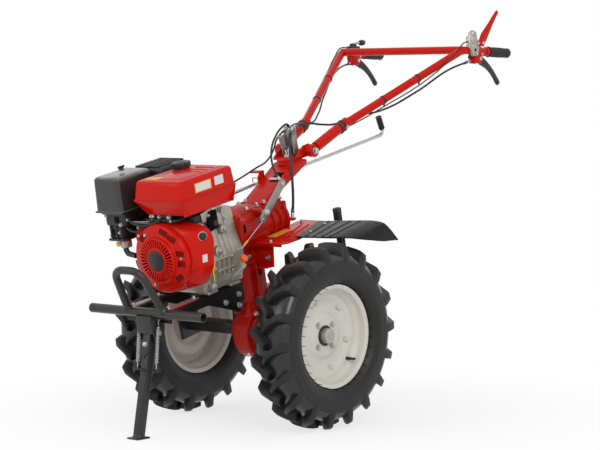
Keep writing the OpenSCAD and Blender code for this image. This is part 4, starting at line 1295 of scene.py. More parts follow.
# the flange's square shoulder towards the engine, with its inspection hole
for side in (1, -1):
    box(bm, (72, 60 * side, 330), (104, 108 * side, 398), 6)
    # the inspection hole is a near-black box of painted shade
    box(parts["painted_recess_shade"], (80, 100 * side, 352), (96, 108.6 * side, 384), 5)
    for y, z in ((88 * side, 270), (78 * side, 404)):
        bar(bm, (84, y, z), (106, y, z), 13, tip=2)
        bolt(parts, (84, y, z), (-1, 0, 0), 9, 2)
# pivot of the clutch lever, stop of the gearbox's cable, and the selector's turret
bar(bm, (-26, 40, 392), (-26, 92, 392), 14, tip=2)
bar(parts["zinc"], (-26, 90, 392), (-26, 98, 392), 10)
box(bm, (-185, 36, 352), (-167, 52, 392), 3)
box(bm, (-190, 50, 326), (-172, 82, 334), 2)
bar(bm, (34, -78, CRANK_Z), (34, -78, 398), 13, tip=2)
turned(parts["rubber"], [(0, 394), (15, 394), (15, 398), (11, 402), (11, 405), (7, 408),
                         (0, 408)], centre=(34, -78, 0), axis=(0, 0, 1))
bolt(parts, (-190, 0, CRANK_Z - 4), (-1, 0, 0), 12)
for x in (-54, -4):
    for y in (-40, 40):
        bolt(parts, (x, y, 408), (0, 0, 1), 8, 3)
fit_piece("clutch_casting", parts, "chassis", ["clutch_housing"])

# %% [markdown]
# ## The mast
#
# A folded steel channel climbs from the housing to the swivel. Its foot plate is bolted down,
# a window in its back lets a latch through, and an ear on its far side guides the gear rod.

# %% Mast
parts = fresh("red_paint", "zinc", "painted_recess_shade")
bm = parts["red_paint"]
flank = [(-82, 408), (-262, 500), (-322, 500), (-322, 486), (-202, 437), (-134, 408)]
for s in (1, -1):
    side_plate(bm, flank, 40 * s, 46 * s, 1.5)
side_plate(bm, [(-82, 408), (-262, 500), (-322, 500), (-322, 494), (-260, 494), (-94, 408)],
           -44, 44, 1.2)
box(bm, (-167, -53, 402), (-78, 53, 409), 2)
bar(bm, (-288, 0, 494), (-288, 0, 505), 44, segments=64, tip=2)
for x, y in ((-90, 40), (-90, -40), (-156, 47), (-156, -47)):
    bolt(parts, (x, y, 409), (0, 0, 1), 8, 3)
# window in the sloping back, the latch that stands in it and a stop beside it
slope = atan2(500 - 408, 262 - 82)
lie = Matrix.Translation((-196, 0, 467.5)) @ Matrix.Rotation(slope, 4, "Y")
# the window is a near-black plate of painted shade, with the latch standing in it
for part, lo, hi, radius in (("painted_recess_shade", (-22, 2, -1), (22, 32, 1.2), 0.4),
                             ("zinc", (6, -8, -1), (18, 28, 4), 1.5),
                             ("red_paint", (-26, -2, -2), (-21, 36, 3), 1.2)):
    verts = box(parts[part], lo, hi)
    bmesh.ops.transform(parts[part], matrix=lie, verts=verts)
    soften(parts[part], edges_of(verts), radius, 2)
# ear that guides the gear rod on the far side
side_plate(bm, [(-173, 446), (-206, 462), (-206, 487), (-190, 487), (-173, 470)], -52, -46, 1.5)
box(bm, (-206, -88, 483), (-174, -46, 487), 1.2)
sweep(parts["zinc"], [(-189, -70, 464), (-189, -88, 464), (-189, -88, 446), (-189, -70, 446)],
      2.2, 6)
fit_piece("mast_channel", parts, "chassis", ["mast"])

# %% [markdown]
# ## The fender sheet
#
# A red pressed sheet lies over the gear case and spreads to both sides, on hangers under it.
# It is nearly flat, so it is an outline drawn out to its thickness, and its pressed ribs are
# slim rounded bars that stand half out of it.

# %% Fender sheet
# outline of one half: across and along
SHEET = ((38, 8), (120, 8), (176, 3), (192, -16), (200, -65), (147, -233), (140, -262),
         (38, -262))


def sheet_z(x):
    """Height of the sheet's upper face, which falls a little towards the front."""
    return 300.2 - 0.03 * (x + 65)


parts = fresh("red_paint", "label_yellow", "zinc")
bm = parts["red_paint"]
for s in (1, -1):
    plate(bm, [(x, y * s, sheet_z(x)) for y, x in SHEET], (0, 0, -4), 1.2)
    # pressed ribs follow the boundary with the wing
    for step, end in ((0, 0.96), (26, 0.9), (52, 0.8)):
        a = Vector((-72, (178 - step) * s, sheet_z(-72) + 0.5))
        b = Vector((-226, (134 - step) * s, sheet_z(-226) + 0.5))
        bar(bm, a, a.lerp(b, end), 3.2, segments=12)
    bar(bm, (-20, 60 * s, sheet_z(-20)), (-44, 176 * s, sheet_z(-44)), 3.4, segments=12)
    side_plate(bm, [(-70, 299), (-190, 302), (-190, 276), (-70, 276)], 60 * s, 66 * s, 1.5)
    # hanger under the sheet: an upright plate with its foot bent forward
    plate(bm, [(-14, 36 * s, 292), (-14, 128 * s, 290), (-14, 118 * s, 214),
               (-14, 62 * s, 212), (-14, 36 * s, 226)], (4, 0, 0), 1)
    plate(bm, [(-14, 58 * s, 213), (24, 58 * s, 214), (16, 112 * s, 216),
               (-14, 118 * s, 215)], (0, 0, 4), 1)
    side_plate(bm, [(-14, 292), (-90, 292), (-90, 262), (-14, 214)], 58 * s, 62 * s, 1)
    bolt(parts, (-10, 98 * s, 246), (1, 0, 0), 10, 4)
    for x, y in ((-8, 52), (-12, 118), (-86, 180), (-196, 146), (-240, 60)):
        bolt(parts, (x, y * s, sheet_z(x)), (0, 0, 1), 7, 2)
    # front edge folded down
    plate(bm, [(8, 38 * s, sheet_z(8)), (4, 176 * s, sheet_z(4)),
               (4, 176 * s, sheet_z(4) - 11), (8, 38 * s, sheet_z(8) - 11)], (-3, 0, 0), 1)
label = [(-60, 62), (-60, 96), (-152, 96), (-152, 62)]
plate(parts["label_yellow"], [(x, y, sheet_z(x) - 0.5) for x, y in label], (0, 0, 1.6))
fit_piece("fender_sheet", parts, "chassis", ["fender_bracket"])

# %% [markdown]
# ## The wings
#
# Black wings are bolted to the sheet and roll down at their outer ends. A wing is curved both
# ways, so it starts as a flat grid whose points are moved between stations, and then gets its
# thickness. Slim rods along it stand for the pressed ribs and the rolled edges.

# %% Wings
WING_RIBS = (222, 252, 286, 316)   # where the ribs' front ends lie across the machine
# stations from the sheet outward: across, along and height of the front edge, then of the rear
WING = ((188, -62, 3.7, 136, -236, 8.6), (262, -68, 5, 232, -251, 10), (320, -71, 5, 306, -261, 11),
        (345, -92, 1.6, 338, -267, 10.4), (366, -120, -6, 368, -269, 7.5),
        (380, -141, -13.5, 387, -268, 4), (387, -166, -22, 393, -272, -4),
        (391, -186, -28, 396.5, -276, -11), (394.5, -214, -37, 397.5, -290, -28),
        (396, -250, -47, 398, -314, -61))


def wing_point(u, v):
    """A point of a wing: u runs outward from 0 to 1, v rearward from 0 to 1."""
    k = min(int(u * (len(WING) - 1)), len(WING) - 2)
    t = u * (len(WING) - 1) - k
    s = [a + t * (b - a) for a, b in zip(WING[k], WING[k + 1])]
    front, rear = Vector((s[1], s[0], s[2] + 300)), Vector((s[4], s[3], s[5] + 300))
    return front.lerp(rear, v)


def wing_at(y_front):
    """How far outward a wing's front edge reaches a given distance from the middle."""
    for k in range(1, len(WING)):
        if WING[k][0] >= y_front:
            low, high = WING[k - 1][0], WING[k][0]
            return (k - 1 + (y_front - low) / (high - low)) / (len(WING) - 1)
    return 1.0


def wing(name, node, side):
    parts = fresh("black_paint", "zinc")
    bm = parts["black_paint"]
    for v in bmesh.ops.create_grid(bm, x_segments=36, y_segments=8, size=0.5)["verts"]:
        v.co = wing_point(v.co.x + 0.5, v.co.y + 0.5)
    bmesh.ops.recalc_face_normals(bm, faces=bm.faces)
    if sum(f.normal.z for f in bm.faces) < 0:
        bmesh.ops.reverse_faces(bm, faces=bm.faces)
    bmesh.ops.solidify(bm, geom=bm.faces[:], thickness=-3)
    for reach in WING_RIBS:
        u = wing_at(reach)
        route = [wing_point(u, v) + Vector((0, 0, 1.2)) for v in (0.04, 0.3, 0.6, 0.96)]
        sweep(bm, route, 4.4, sides=3)
    # rolled edges at the front and rear
    for v in (0.03, 0.97):
        sweep(bm, [wing_point(k / 20, v) - Vector((0, 0, 1.4)) for k in range(21)], 2.2, sides=2)
    # rolled lip at the outer end
    sweep(bm, [wing_point(0.995, v) for v in (0.02, 0.35, 0.7, 0.98)], 3, sides=3)
    for u, v in ((0.04, 0.3), (0.05, 0.8)):
        bolt(parts, wing_point(u, v), (0, 0, 1), 7, 2)
    fit_piece(name, parts, "chassis", [node], CHASSIS @ Matrix.Diagonal((1, side, 1, 1)), angle=50)


wing("left_wing", "left_fender", 1)
wing("right_wing", "right_fender", -1)

# %% [markdown]
# ## The engine bed
#
# Two angle rails carry the engine, with bare strips on top where its feet slide. Each rail is
# a flat shelf and a side plate cut to its own outline, and three cross pieces join them.

# %% Engine bed
# outline of a side plate: along and up
RAIL_SIDE = ((106, 195), (120, 106), (146, 106), (168, 118), (272, 164), (445, 166), (445, 195))

parts = fresh("black_paint", "bare_steel", "zinc", "red_paint")
bm = parts["black_paint"]
for y, s in RAILS:
    box(bm, (106, y, 190), (445, y - 40 * s, 195), 1.2)
    side_plate(bm, RAIL_SIDE, y - 2.5, y + 2.5, 1.2)
    box(parts["bare_steel"], (300, y - 8 * s, 194), (440, y - 32 * s, 199), 1)
    box(parts["red_paint"], (322, y - 2 * s, 194), (438, y - 7 * s, 198), 1)
    for x, z in ((131, 162), (136, 127), (196, 152)):
        bolt(parts, (x, y + 2.5 * s, z), (0, s, 0), 9, 3)
    for x in (312, 428):
        bolt(parts, (x, y - 20 * s, 199), (0, 0, 1), 7, 2)
box(bm, (439, -116, 155), (445, 78, 195), 1.5)
box(bm, (180, -116, 165), (200, 78, 191), 2)
box(bm, (99, -114, 134), (110, 76, 191), 2)
fit_piece("engine_rails", parts, "chassis", ["engine_bed"])

# %% [markdown]
# ## The bumper
#
# A bent hoop and a long open crossbar of the same tube protect the front. The hoop is a route
# with rounded corners. The crossbar shows its wall at both ends, so it is a spun profile that
# turns inward there, round a near-black core of painted shade inside the tube.

# %% Bumper
parts = fresh("grey_tube", "zinc", "painted_recess_shade")
bm = parts["grey_tube"]
turned(bm, [(12, -245), (14.4, -245), (15, -244.4), (15, 244.4), (14.4, 245), (12, 245),
            (12, -120)], centre=(468, 0, 193.5), axis=(0, 1, 0), closed=True)
# a near-black core: painted shade inside the open tube
bar(parts["painted_recess_shade"], (468, -130, 193.5), (468, 130, 193.5), 12.2)
sweep(bm, [(468, 78, 193.5), (525, 57, 345), (525, -57, 345), (468, -78, 193.5)], 12.5, 44, 8)
for y in (78, -78):
    turned(bm, [(0, 0), (18, 0), (14, 8), (12.5, 10), (0, 10)], centre=(472, y * 0.985, 203),
           axis=(0.37, -0.1 * y / 78, 0.93))
for y, _ in RAILS:
    box(bm, (440, y - 18, 175), (468, y + 18, 187), 2)
# bracket and hinge pin of the stand
for s in (1, -1):
    side_plate(bm, [(446, 185), (446, 104), (452, 98), (472, 98), (480, 106), (486, 185)],
               28 * s, 33 * s, 1.5)
    bolt(parts, (462, 33 * s, 128), (0, s, 0), 10, 2)
box(bm, (482, -33, 130), (488, 33, 187), 1.5)
bar(parts["zinc"], (462, -47, 172), (462, 47, 172), 3.5, tip=1)
bar(parts["zinc"], (462, -38, 128), (462, 38, 128), 6)
fit_piece("bumper_tubes", parts, "chassis", ["bumper"])

# %% [markdown]
# ## The front stand
#
# The stand hinges under the bumper, and its foot rests on the ground. It turns on a joint, so
# it is drawn in axes that stay level. The leg is drawn hanging straight down and is then
# leaned from the hinge towards the foot.

# %% Stand
def level(point):
    """A point of the chassis in level axes."""
    return (LEVEL.inverted() @ CHASSIS) @ Vector(point)


HINGE, FOOT = level((462, 0, 128)), Vector((535, 0, -300))
LEG = (FOOT - HINGE).normalized()

parts = fresh("grey_tube", "zinc")
bm = parts["grey_tube"]
reach = (FOOT - HINGE).length
lean = Matrix.Translation(HINGE) @ LEG.to_track_quat("-Z", "Y").to_matrix().to_4x4()
box(bm, (-13, -15, 8 - reach), (13, 15, 2), 3)
box(bm, (-9, -47, -122), (9, 47, -115), 1.5)
for s in (1, -1):
    side_plate(bm, [(-14, 10), (-14, -60), (0, -84), (14, -60), (14, 10)], 15 * s, 19 * s, 1.2)
    bolt(parts, (0, 19 * s, -40), (0, s, 0), 8, 2)
for part in parts.values():
    bmesh.ops.transform(part, matrix=lean, verts=part.verts)
box(bm, FOOT + Vector((-28, -24, 0.2)), FOOT + Vector((28, 24, 6)), 2)
turned(bm, [(0, 5), (22, 5), (19, 9), (15, 16), (0, 16)], centre=FOOT, axis=(0, 0, 1))
fit_piece("stand_leg_piece", parts, "stand", ["stand_leg"], LEVEL)

# %% [markdown]
# ## The stand's springs
#
# Two coil springs pull the stand up. A spring is a wire swept round a helix, with a straight
# hook at each end. It runs from the chassis above to the stand below, but rides on neither.
# The near one stands for the solid of both.

# %% Springs
TURNS, POINTS_A_TURN, COIL_R, WIRE_R = 22, 14, 5.2, 1.35
HOOK = 18   # length left for a hook at each end of the coil


def spring(name, side, replaced):
    bm = bmesh.new()
    top = level((462, 41 * side, 168))
    low = HINGE + 114 * LEG + Vector((0, 41 * side, 0))
    down = (low - top).normalized()
    ahead = down.orthogonal().normalized()
    across = down.cross(ahead)
    length, points = (low - top).length, TURNS * POINTS_A_TURN
    coil = [top, top + 14 * down]
    for k in range(points + 1):
        a = tau * k / POINTS_A_TURN
        coil.append(top + down * (HOOK + (length - 2 * HOOK) * k / points)
                    + COIL_R * (cos(a) * ahead + sin(a) * across))
    coil += [low - 14 * down, low]
    sweep(bm, coil, WIRE_R, 0.0, 2)
    fit_piece(name, {"zinc": bm}, ("chassis", "stand", LEVEL @ top, LEVEL @ low), replaced, LEVEL,
              60)


spring("near_spring", 1, ["stand_springs"])
spring("far_spring", -1, [])

# %% [markdown]
# ## Hitch and depth stake
#
# The drawbar is a box section welded to a bolted plate. A square stake drops through its
# socket, with a row of holes for the locking pin and a plastic cap on top. All are plain
# rolled sections, so boxes with softly rounded edges are enough.

# %% Hitch and depth stake
parts = fresh("black_paint", "zinc")
bm = parts["black_paint"]
box(bm, (-174, -48, -12), (-160, 48, 132), 3)
box(bm, (-440, -30, 20), (-172, 30, 100), 4)
for s in (1, -1):
    box(bm, (-516, 12 * s, 10), (-436, 30 * s, 110), 3)
    bar(parts["zinc"], (-492, 30 * s, 60), (-492, 34 * s, 60), 10, tip=1)
box(bm, (-516, -28, 10), (-505, 28, 110), 3)
box(bm, (-479, -28, 10), (-436, 28, 110), 3)
bar(parts["zinc"], (-455, -38, 60), (-455, 38, 60), 8)
sweep(parts["zinc"], [(-455, 36, 60), (-455, 46, 62), (-470, 46, 84), (-488, 42, 84)], 2.2, 6)
for y in (-38, 38):
    for z in (0, 120):
        bolt(parts, (-174, y, z), (-1, 0, 0), 10, 3)
fit_piece("drawbar", parts, "chassis", ["hitch"])

parts = fresh("black_paint", "black_plastic", "painted_recess_shade")
box(parts["black_paint"], (-503, -11, -180), (-481, 11, 279), 2)
box(parts["black_plastic"], (-504, -12, 272), (-480, 12, 287), 4)
# the pin holes are near-black discs of painted shade
for z in range(-150, 219, 46):
    for s in (1, -1):
        bar(parts["painted_recess_shade"], (-492, 9 * s, z), (-492, 11.3 * s, z), 5)
fit_piece("depth_bar", parts, "chassis", ["depth_stake"])

# %% [markdown]
# ## The gear rod
#
# A bent rod reaches from the selector back to the driver. It is a route with rounded corners,
# and its ribbed knob is one spun profile whose rings are made in a loop.

# %% Gear rod
rod, knob = fresh("zinc"), fresh("black_plastic")
sweep(rod["zinc"], [(34, -78, 402), (34, -78, 437), (-889, -78, 456), (-875, -78, 516)], 6, 16, 6)
fit_piece("selector_rod", rod, "chassis", ["gear_rod"])
up = Vector((12.2, 0, 50)).normalized()
rings = [(0, 0), (8, 0)]
for k in range(6):
    z = 3 + 7 * k
    rings += [(9.3, z), (11, z + 1), (11, z + 4.6), (9.3, z + 5.6)]
rings += [(10.4, 46), (11.5, 48.5), (10, 51), (6, 52.5), (0, 53)]
turned(knob["black_plastic"], rings, centre=(-885.2, -78, 474), axis=up, steps=40)
fit_piece("ribbed_knob", knob, "chassis", ["gear_knob"])

# %% [markdown]
# ## The clutch lever and its wire
#
# A flat lever on the near side pulls the clutch. It is drawn level, as an outline with fully
# round ends, and then swung up to its angle on its pivot. A bare wire with a yellow sleeve
# runs from it to the engine.

# %% Clutch lever
LEVER_ANGLE = 180 + 38.2

parts = fresh("bare_steel", "zinc")
swing = Matrix.Translation((-26, 0, 392)) @ Matrix.Rotation(radians(LEVER_ANGLE), 4, "Y")
outline = rounded_outline([(-40, 0, -13), (-40, 0, 13), (136, 0, 13), (136, 0, -13)], 12.8, 6)
plate(parts["bare_steel"], [(x, 101, z) for x, _, z in outline], (0, 6, 0), 1)
for x, radius in ((0, 12), (120, 7), (-28, 5)):
    bar(parts["zinc"], (x, 105, 0), (x, 109 if x else 110, 0), radius, tip=1)
for part in parts.values():
    bmesh.ops.transform(part, matrix=swing, verts=part.verts)
fit_piece("clutch_arm", parts, "chassis", ["clutch_lever"])
wire = fresh("zinc", "yellow_plastic")
route = [(2, 108.8, 370), (46, 113, 351), (94, 118, 330), (132, 121, 313)]
sweep(wire["zinc"], route, 1.5)
a, b = Vector(route[2]), Vector(route[3])
bar(wire["yellow_plastic"], a, a.lerp(b, 0.55), 3.4, segments=12, tip=0.8)
bar(wire["zinc"], a.lerp(b, 0.5), b, 2.6, segments=12, tip=0.6)
fit_piece("release_wire_piece", wire, "chassis", ["release_wire"])

# %% [markdown]
# ## Cables to the chassis
#
# Three sheathed cables come down from the swivel bracket to the gearbox, the engine and the
# clutch lever. A cable swings through its points, and carries a metal ferrule and a rubber
# boot at each end. It runs between the chassis and the turning bracket, but rides on neither.

# %% Cables to the chassis
def cable(name, points, radius, body, node, place=CHASSIS, metal=26):
    """A sheathed cable with a ferrule and boot at each end."""
    points = [Vector(p) for p in points]
    parts = fresh("black_plastic", "zinc")
    sweep(parts["black_plastic"], points, radius, sides=4)
    for end, inner in ((points[0], points[1]), (points[-1], points[-2])):
        along = (inner - end).normalized()
        bar(parts["zinc"], end, end + metal * along, radius + 1.3, segments=20, tip=0.8)
        bar(parts["black_plastic"], end + metal * 0.7 * along,
            end + metal * 1.3 * along, radius + 1.9, radius + 0.4, segments=20)
    fit_piece(name, parts, body, [node], place)


def across_swivel(a, b):
    """Names the chassis at a and the turning bracket at b; a piece given this rides on neither."""
    return ("chassis", "bracket", CHASSIS @ Vector(a), CHASSIS @ Vector(b))


cable("gearbox_sheath",
      [(-299, 22, 612), (-276, 30, 596), (-250, 44, 556), (-226, 60, 500), (-206, 72, 440),
       (-192, 76, 384), (-181, 73, 334)], 4.5, across_swivel((-206, 72, 440), (-299, 22, 612)),
      "gearbox_cable")
cable("engine_sheath",
      [(-299, -12, 606), (-290, -44, 576), (-288, -68, 534), (-264, -76, 508), (-196, -76, 494),
       (-100, -76, 477), (40, -70, 464), (104, -52, 457), (126, -40, 454.6), (140, -36, 454.2)],
      3, across_swivel((-196, -76, 494), (-299, -12, 606)), "engine_cable", metal=14)
cable("clutch_sheath",
      [(-304, 6, 612), (-286, 12, 626), (-250, 18, 622), (-210, 25, 604), (-172, 34, 572),
       (-148, 48, 536), (-134, 68, 502), (-127, 92, 476)], 3.5,
      across_swivel((-134, 68, 502), (-304, 6, 612)), "lever_cable", metal=18)

# %% [markdown]
# ## Swivel bracket and clamp
#
# The turning bracket is folded from thick plate: a base disc, two ears and the handlebar's
# hinge bolts. A bright plate behind them holds the ends of the cables, beside the clamp. All
# are outlines drawn out to the thickness of the sheet, and turn with the bracket's body.

# %% Swivel bracket
parts = fresh("red_paint", "zinc")
bm = parts["red_paint"]
bar(bm, (-288, 0, 505.6), (-288, 0, 513), 44, segments=64, tip=2)
box(bm, (-346, -49, 509), (-262, 49, 516), 2)
for s in (1, -1):
    side_plate(bm, [(-352, 508), (-352, 540), (-340, 549), (-312, 548), (-262, 517),
                    (-262, 508)], 43 * s, 49 * s, 1.5)
    bar(bm, (-331, 49 * s, 527), (-331, 58 * s, 527), 17, tip=1.5)
    bolt(parts, (-331, 80.5 * s, 527), (0, s, 0), 11.5)
bar(parts["zinc"], (-331, -84, 527), (-331, 84, 527), 8)
fit_piece("turning_bracket", parts, "bracket", ["swivel_bracket"])

parts = fresh("bare_steel", "zinc")
bm = parts["bare_steel"]
bar(parts["zinc"], (-288, 0, 515), (-288, 0, 546), 12, tip=2)
bar(parts["zinc"], (-288, 0, 515), (-288, 0, 524), 17, segments=6, tip=1)
plate(bm, [(-306, y, z) for y, z in ((-20, 516), (-24, 566), (-20, 610), (-14, 616),
                                     (26, 616), (32, 608), (30, 566), (32, 516))],
      (5, 0, 0), 1.2)
for y in (-20, 28):
    side_plate(bm, [(-304, 520), (-304, 590), (-284, 586), (-282, 524)], y - 2, y + 2, 1)
side_plate(bm, [(-280, 542), (-266, 542), (-254, 588), (-256, 592), (-270, 594)], -8, 8, 1.5)
box(bm, (-300, -12, 548), (-274, 12, 552), 1)
for y in (-10, 8, 22):
    bolt(parts, (-301, y, 606), (1, 0, 0), 5, 3)
fit_piece("cable_stop", parts, "bracket", ["clamp_handle"])

# %% [markdown]
# ## The handlebar
#
# Two stout lower tubes hinge on the bracket. Slimmer tubes run up and back from them, bend
# outward at the corners and end in the grips, and a cross tube joins the corners. Each tube is
# one route with rounded corners, and the clips that hold the cables are short bands.

# %% Handlebar
# of the near arm, in level axes: hinge, upper end of the stout tube, corner, end of the grip
PIVOT = level((-331, 72, 527))
ELBOW = Vector((-351, 88, 668))
CORNER = Vector((-775, 271, 925))
GRIP_END = Vector((-1014, 288, 918))
TUBE_R, STOUT_R = 13.5, 18

parts = fresh("red_paint", "black_plastic", "zinc")
bm, clip = parts["red_paint"], parts["black_plastic"]
sweep(bm, [ELBOW, CORNER, GRIP_END], TUBE_R, 60, 8)
up = (ELBOW - PIVOT).normalized()
bar(bm, PIVOT + Vector((-14, 0, 12)), ELBOW + 20 * up, STOUT_R, tip=2)
for back in (-10, -26):
    turned(clip, [(0, 0), (19.5, 0), (20.8, 1.2), (20.8, 8.8), (19.5, 10), (0, 10)],
           centre=ELBOW + back * up, axis=up)
turned(bm, [(0, 60), (21, 60), (22, 61), (22, 79), (21, 80), (0, 80)],
       centre=(PIVOT.x, 0, PIVOT.z), axis=(0, 1, 0))
along = (CORNER - ELBOW).normalized()
for t in (0.33, 0.62):
    at = ELBOW.lerp(CORNER, t)
    bar(clip, at - 3 * along, at + 3 * along, 15.4, tip=1)
    bar(clip, at + Vector((0, 2, -10)), at + Vector((0, 5, -21)), 3.4, segments=12)
bolt(parts, ELBOW + Vector((2, 18, -6)), (0, 1, 0), 7)
# collar in front of the grip, then everything again for the far arm, and the cross tube
at = CORNER.lerp(GRIP_END, 0.50)
bar(bm, at, at + 12 * (GRIP_END - CORNER).normalized(), 16, tip=2)
for part in parts.values():
    mirrored(part)
sweep(bm, [(CORNER.x, -CORNER.y, CORNER.z), CORNER], TUBE_R, 0, 8)
fit_piece("handlebar_tubes", parts, "bars", ["handlebar"], LEVEL)

# %% [markdown]
# ## The grips
#
# A moulded rubber grip swells towards the palm and has fine rings all along, and a flange in
# front of the thumb. The whole is one profile spun round the tube, its rings made in a loop.

# %% Grips
RINGS = 22


def grip(name, node, side):
    start, end = CORNER.lerp(GRIP_END, 0.565), GRIP_END
    along = (end - start).normalized()
    length = (end - start).length + 6
    profile = [(0, 0), (13, 0), (18.5, 0), (19, 2), (18.5, 5), (16, 7)]
    for k in range(RINGS):
        t = k / RINGS
        r, at = 16.2 + 1.6 * sin(pi * (0.15 + 0.85 * t)), 9 + (length - 20) * t
        profile += [(r, at), (r, at + 2.2), (r - 0.9, at + 2.8), (r - 0.9, at + 3.6)]
    profile += [(17, length - 9), (17.2, length - 4), (15.5, length - 1), (12, length),
                (0, length)]
    bm = bmesh.new()
    turned(bm, profile, centre=start, axis=along, steps=48)
    fit_piece(name, {"rubber": bm}, "bars", [node], LEVEL @ Matrix.Diagonal((1, side, 1, 1)))


grip("left_hand_grip", "left_grip", 1)
grip("right_hand_grip", "right_grip", -1)

# %% [markdown]
# ## Squeeze levers
#
# Under each corner a red bracket holds a black squeeze lever. A blade like this changes its
# width all along, so it is given by its middle line and half its width, and a helper finds
# the outline, which is drawn out and rounded. Both sides are alike, so one is mirrored.

# %% Squeeze levers
def ribbon(line):
    """Outline round a middle line of (x, z, half width)."""
    left, right = [], []
    for k, (x, z, half) in enumerate(line):
        a, b = line[max(k - 1, 0)], line[min(k + 1, len(line) - 1)]
        run = Vector((b[0] - a[0], b[1] - a[1])).normalized()
        left.append((x - run.y * half, z + run.x * half))
        right.append((x + run.y * half, z - run.x * half))
    return left + right[::-1]


def at_corner(points):
    """An outline of (x, z) from the handlebar's corner."""
    return [(CORNER.x + x, CORNER.z + z) for x, z in points]


def near(x, y, z):
    """A point counted from the near corner of the handlebar."""
    return CORNER + Vector((x, y, z))


parts = fresh("red_paint", "black_plastic", "zinc")
bm, y = parts["red_paint"], CORNER.y
cheek = at_corner([(-50, 2), (-95, 0), (-97, -30), (-84, -47), (-56, -45), (-48, -20)])
side_plate(bm, cheek, y - 9, y - 5, 1.2)
side_plate(bm, cheek, y + 14, y + 18, 1.2)
box(bm, near(-60, -8, -46), near(-50, 17, -2), 1.5)
bar(bm, near(-52, 2, -1), near(-92, 5, -2), 17, tip=1.5)
blade = ribbon([(-74, -22, 12), (-88, -30, 14.5), (-106, -39, 14), (-126, -48, 11.5),
                (-146, -60, 9.5), (-166, -76, 8.2), (-184, -94, 7.8), (-196, -108, 8.5),
                (-203, -116, 6.5)])
side_plate(parts["black_plastic"], at_corner(blade), y, y + 13, 3.5, 3)
for x, z, radius in ((-84, -28, 6.5), (-92, -12, 4)):
    bar(parts["zinc"], near(x, -11, z), near(x, 20, z), radius, tip=1)
for part in parts.values():
    mirrored(part)
fit_piece("squeeze_blades", parts, "bars", ["squeeze_levers"], LEVEL)

# %% [markdown]
# ## Switch block and stop paddle
#
# The near corner also carries a cast switch block with a red stop paddle. The block is two
# outlines of different thickness, one on the other. The paddle is a blade as above, whose
# points are then pushed outward the higher they lie.

# %% Switch block and stop paddle
parts = fresh("cast_alloy", "zinc", "black_plastic", "painted_recess_shade")
bm, y = parts["cast_alloy"], CORNER.y
side_plate(bm, at_corner([(-26, -2), (-16, 8), (-16, 40), (-20, 62), (-34, 69), (-52, 64),
                          (-57, 42), (-66, 32), (-71, 4), (-63, -18), (-36, -21)]),
           y + 10, y + 22, 2.5)
side_plate(bm, at_corner([(-22, 6), (-24, 44), (-54, 42), (-64, 6)]), y - 2, y + 12, 3)
box(bm, near(-52, -4, 26), near(-24, 26, 48), 3)
for x, z in ((-30, 58), (-60, 24), (-27, 14), (-52, -12)):
    bolt(parts, near(x, 22, z), (0, 1, 0), 6, 1)
# a near-black square of painted shade, as a recess in the block
box(parts["painted_recess_shade"], near(-52, 21, -4), near(-42, 22.6, 6), 0.5)
bar(parts["black_plastic"], near(-40, 2, -18), near(-40, 2, -30), 6, tip=1)
fit_piece("switch_block", parts, "bars", ["switch_bracket"], LEVEL)

parts = fresh("red_paint", "zinc")
bm = parts["red_paint"]
blade = ribbon([(-84, 14, 12), (-84, 30, 17), (-92, 50, 19), (-104, 70, 15),
                (-116, 90, 11.5), (-128, 110, 9), (-139, 127, 7.5), (-146, 137, 5.5)])
side_plate(bm, at_corner(blade), 0, 8, 2.4, 3)
for v in bm.verts:
    # the paddle leans outward as it rises
    v.co.y += CORNER.y + 16 + 0.19 * max(0, v.co.z - CORNER.z - 20)
bar(parts["zinc"], near(-84, 14, 26), near(-84, 30, 26), 6, tip=1)
bar(bm, near(-66, 20, 22), near(-88, 20, 26), 7)
fit_piece("stop_paddle", parts, "bars", ["stop_lever"], LEVEL)

# %% [markdown]
# ## The throttle
#
# The far corner holds a small throttle: a moulded base, a pivot under a nut, and a bent lever
# that ends in a turned knob.

# %% Throttle
def far(x, y, z):
    """A point counted from the far corner of the handlebar."""
    return Vector((CORNER.x + x, y - CORNER.y, CORNER.z + z))


parts = fresh("black_plastic", "zinc")
bm, metal = parts["black_plastic"], parts["zinc"]
box(bm, far(-88, -28, 6), far(-56, 14, 24), 4)
bar(bm, far(-72, -8, 12), far(-72, -8, 33), 13, tip=2)
bar(metal, far(-72, -8, 30), far(-72, -8, 36), 7, segments=6, tip=1)
sweep(metal, [far(-72, -8, 30), far(-100, -16, 36), far(-130, -21, 38)], 4)
start = far(-122, -20, 37)
turned(bm, [(0, 0), (6, 0), (9, 5), (10.5, 12), (10.5, 24), (9, 31), (5, 34), (0, 34.5)],
       centre=start, axis=far(-162, -26, 40) - start, steps=32)
fit_piece("throttle_unit", parts, "bars", ["throttle_lever"], LEVEL)

# %% [markdown]
# ## Cables along the handlebar
#
# A sheathed cable runs along each arm from the squeeze lever to the bracket's cable plate, and
# rides on neither. Thinner leads are clipped beside them and stay with the bars.
# Their points are counted from the arm's own line, which keeps them close to the tube.

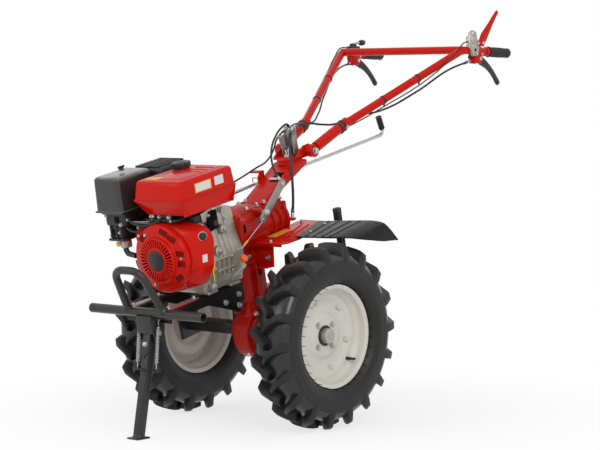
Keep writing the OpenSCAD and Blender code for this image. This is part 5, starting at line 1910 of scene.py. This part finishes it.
# %% Cables along the handlebar
def beside_arm(t, off, side=1):
    """A point at the share t of the way up an arm, moved off it."""
    spot = ELBOW.lerp(CORNER, t) + Vector(off)
    return Vector((spot.x, side * spot.y, spot.z))


def off_elbow(off, side=1):
    """A point counted from an arm's elbow."""
    return Vector((ELBOW.x + off[0], side * (ELBOW.y + off[1]), ELBOW.z + off[2]))


left = [near(-47.5, 0, -36), beside_arm(0.86, (0, 4, -36)), beside_arm(0.6, (0, 8, -40)),
        beside_arm(0.3, (0, 0, -30)), beside_arm(0.15, (0, -32, -8)), off_elbow((-4, -36, 4)),
        off_elbow((60, -44, 2)), off_elbow((110, -58, 6)), off_elbow((144, -70, 0)),
        level((-308, 8, 601))]
right = [far(-47.4, 0, -36), beside_arm(0.86, (0, 0, -30), -1),
         beside_arm(0.5, (0, -4, -28), -1), beside_arm(0.16, (0, -34, -8), -1),
         off_elbow((-2, -36, 8), -1), off_elbow((64, -44, 4), -1),
         off_elbow((112, -60, 4), -1), off_elbow((144, -72, -2), -1),
         level((-308, -10, 601))]
for name, points, radius, node, bend in (("near_sheath", left, 3.5, "left_bar_cable", 5),
                                         ("far_sheath", right, 3, "right_bar_cable", 4)):
    cable(name, points, radius, ("bracket", "bars", LEVEL @ points[-1], LEVEL @ points[bend]),
          node, LEVEL)


# the stop switch's lead on the near arm and the throttle's on the far one
bm = bmesh.new()
sweep(bm, [near(-38, 12, 30), near(2, 8, 24),
           *(beside_arm(t, off) for t, off in (
               (0.93, (0, 12, 12)), (0.8, (0, 16, -6)), (0.62, (0, 14, -20)),
               (0.3, (0, 8, -20)), (0.12, (0, 4, -18)), (0.05, (0, -10, -20))))], 2.2)
sweep(bm, [beside_arm(t, off, -1) for t, off in (
    (1.0, (-60, 10, 16)), (1.0, (-10, 14, 16)), (0.9, (0, 18, 8)), (0.7, (0, 17, 4)),
    (0.4, (0, 16, 2)), (0.12, (0, 14, -6)))], 2.4)
fit_piece("clipped_leads", {"black_plastic": bm}, "bars", (), LEVEL)
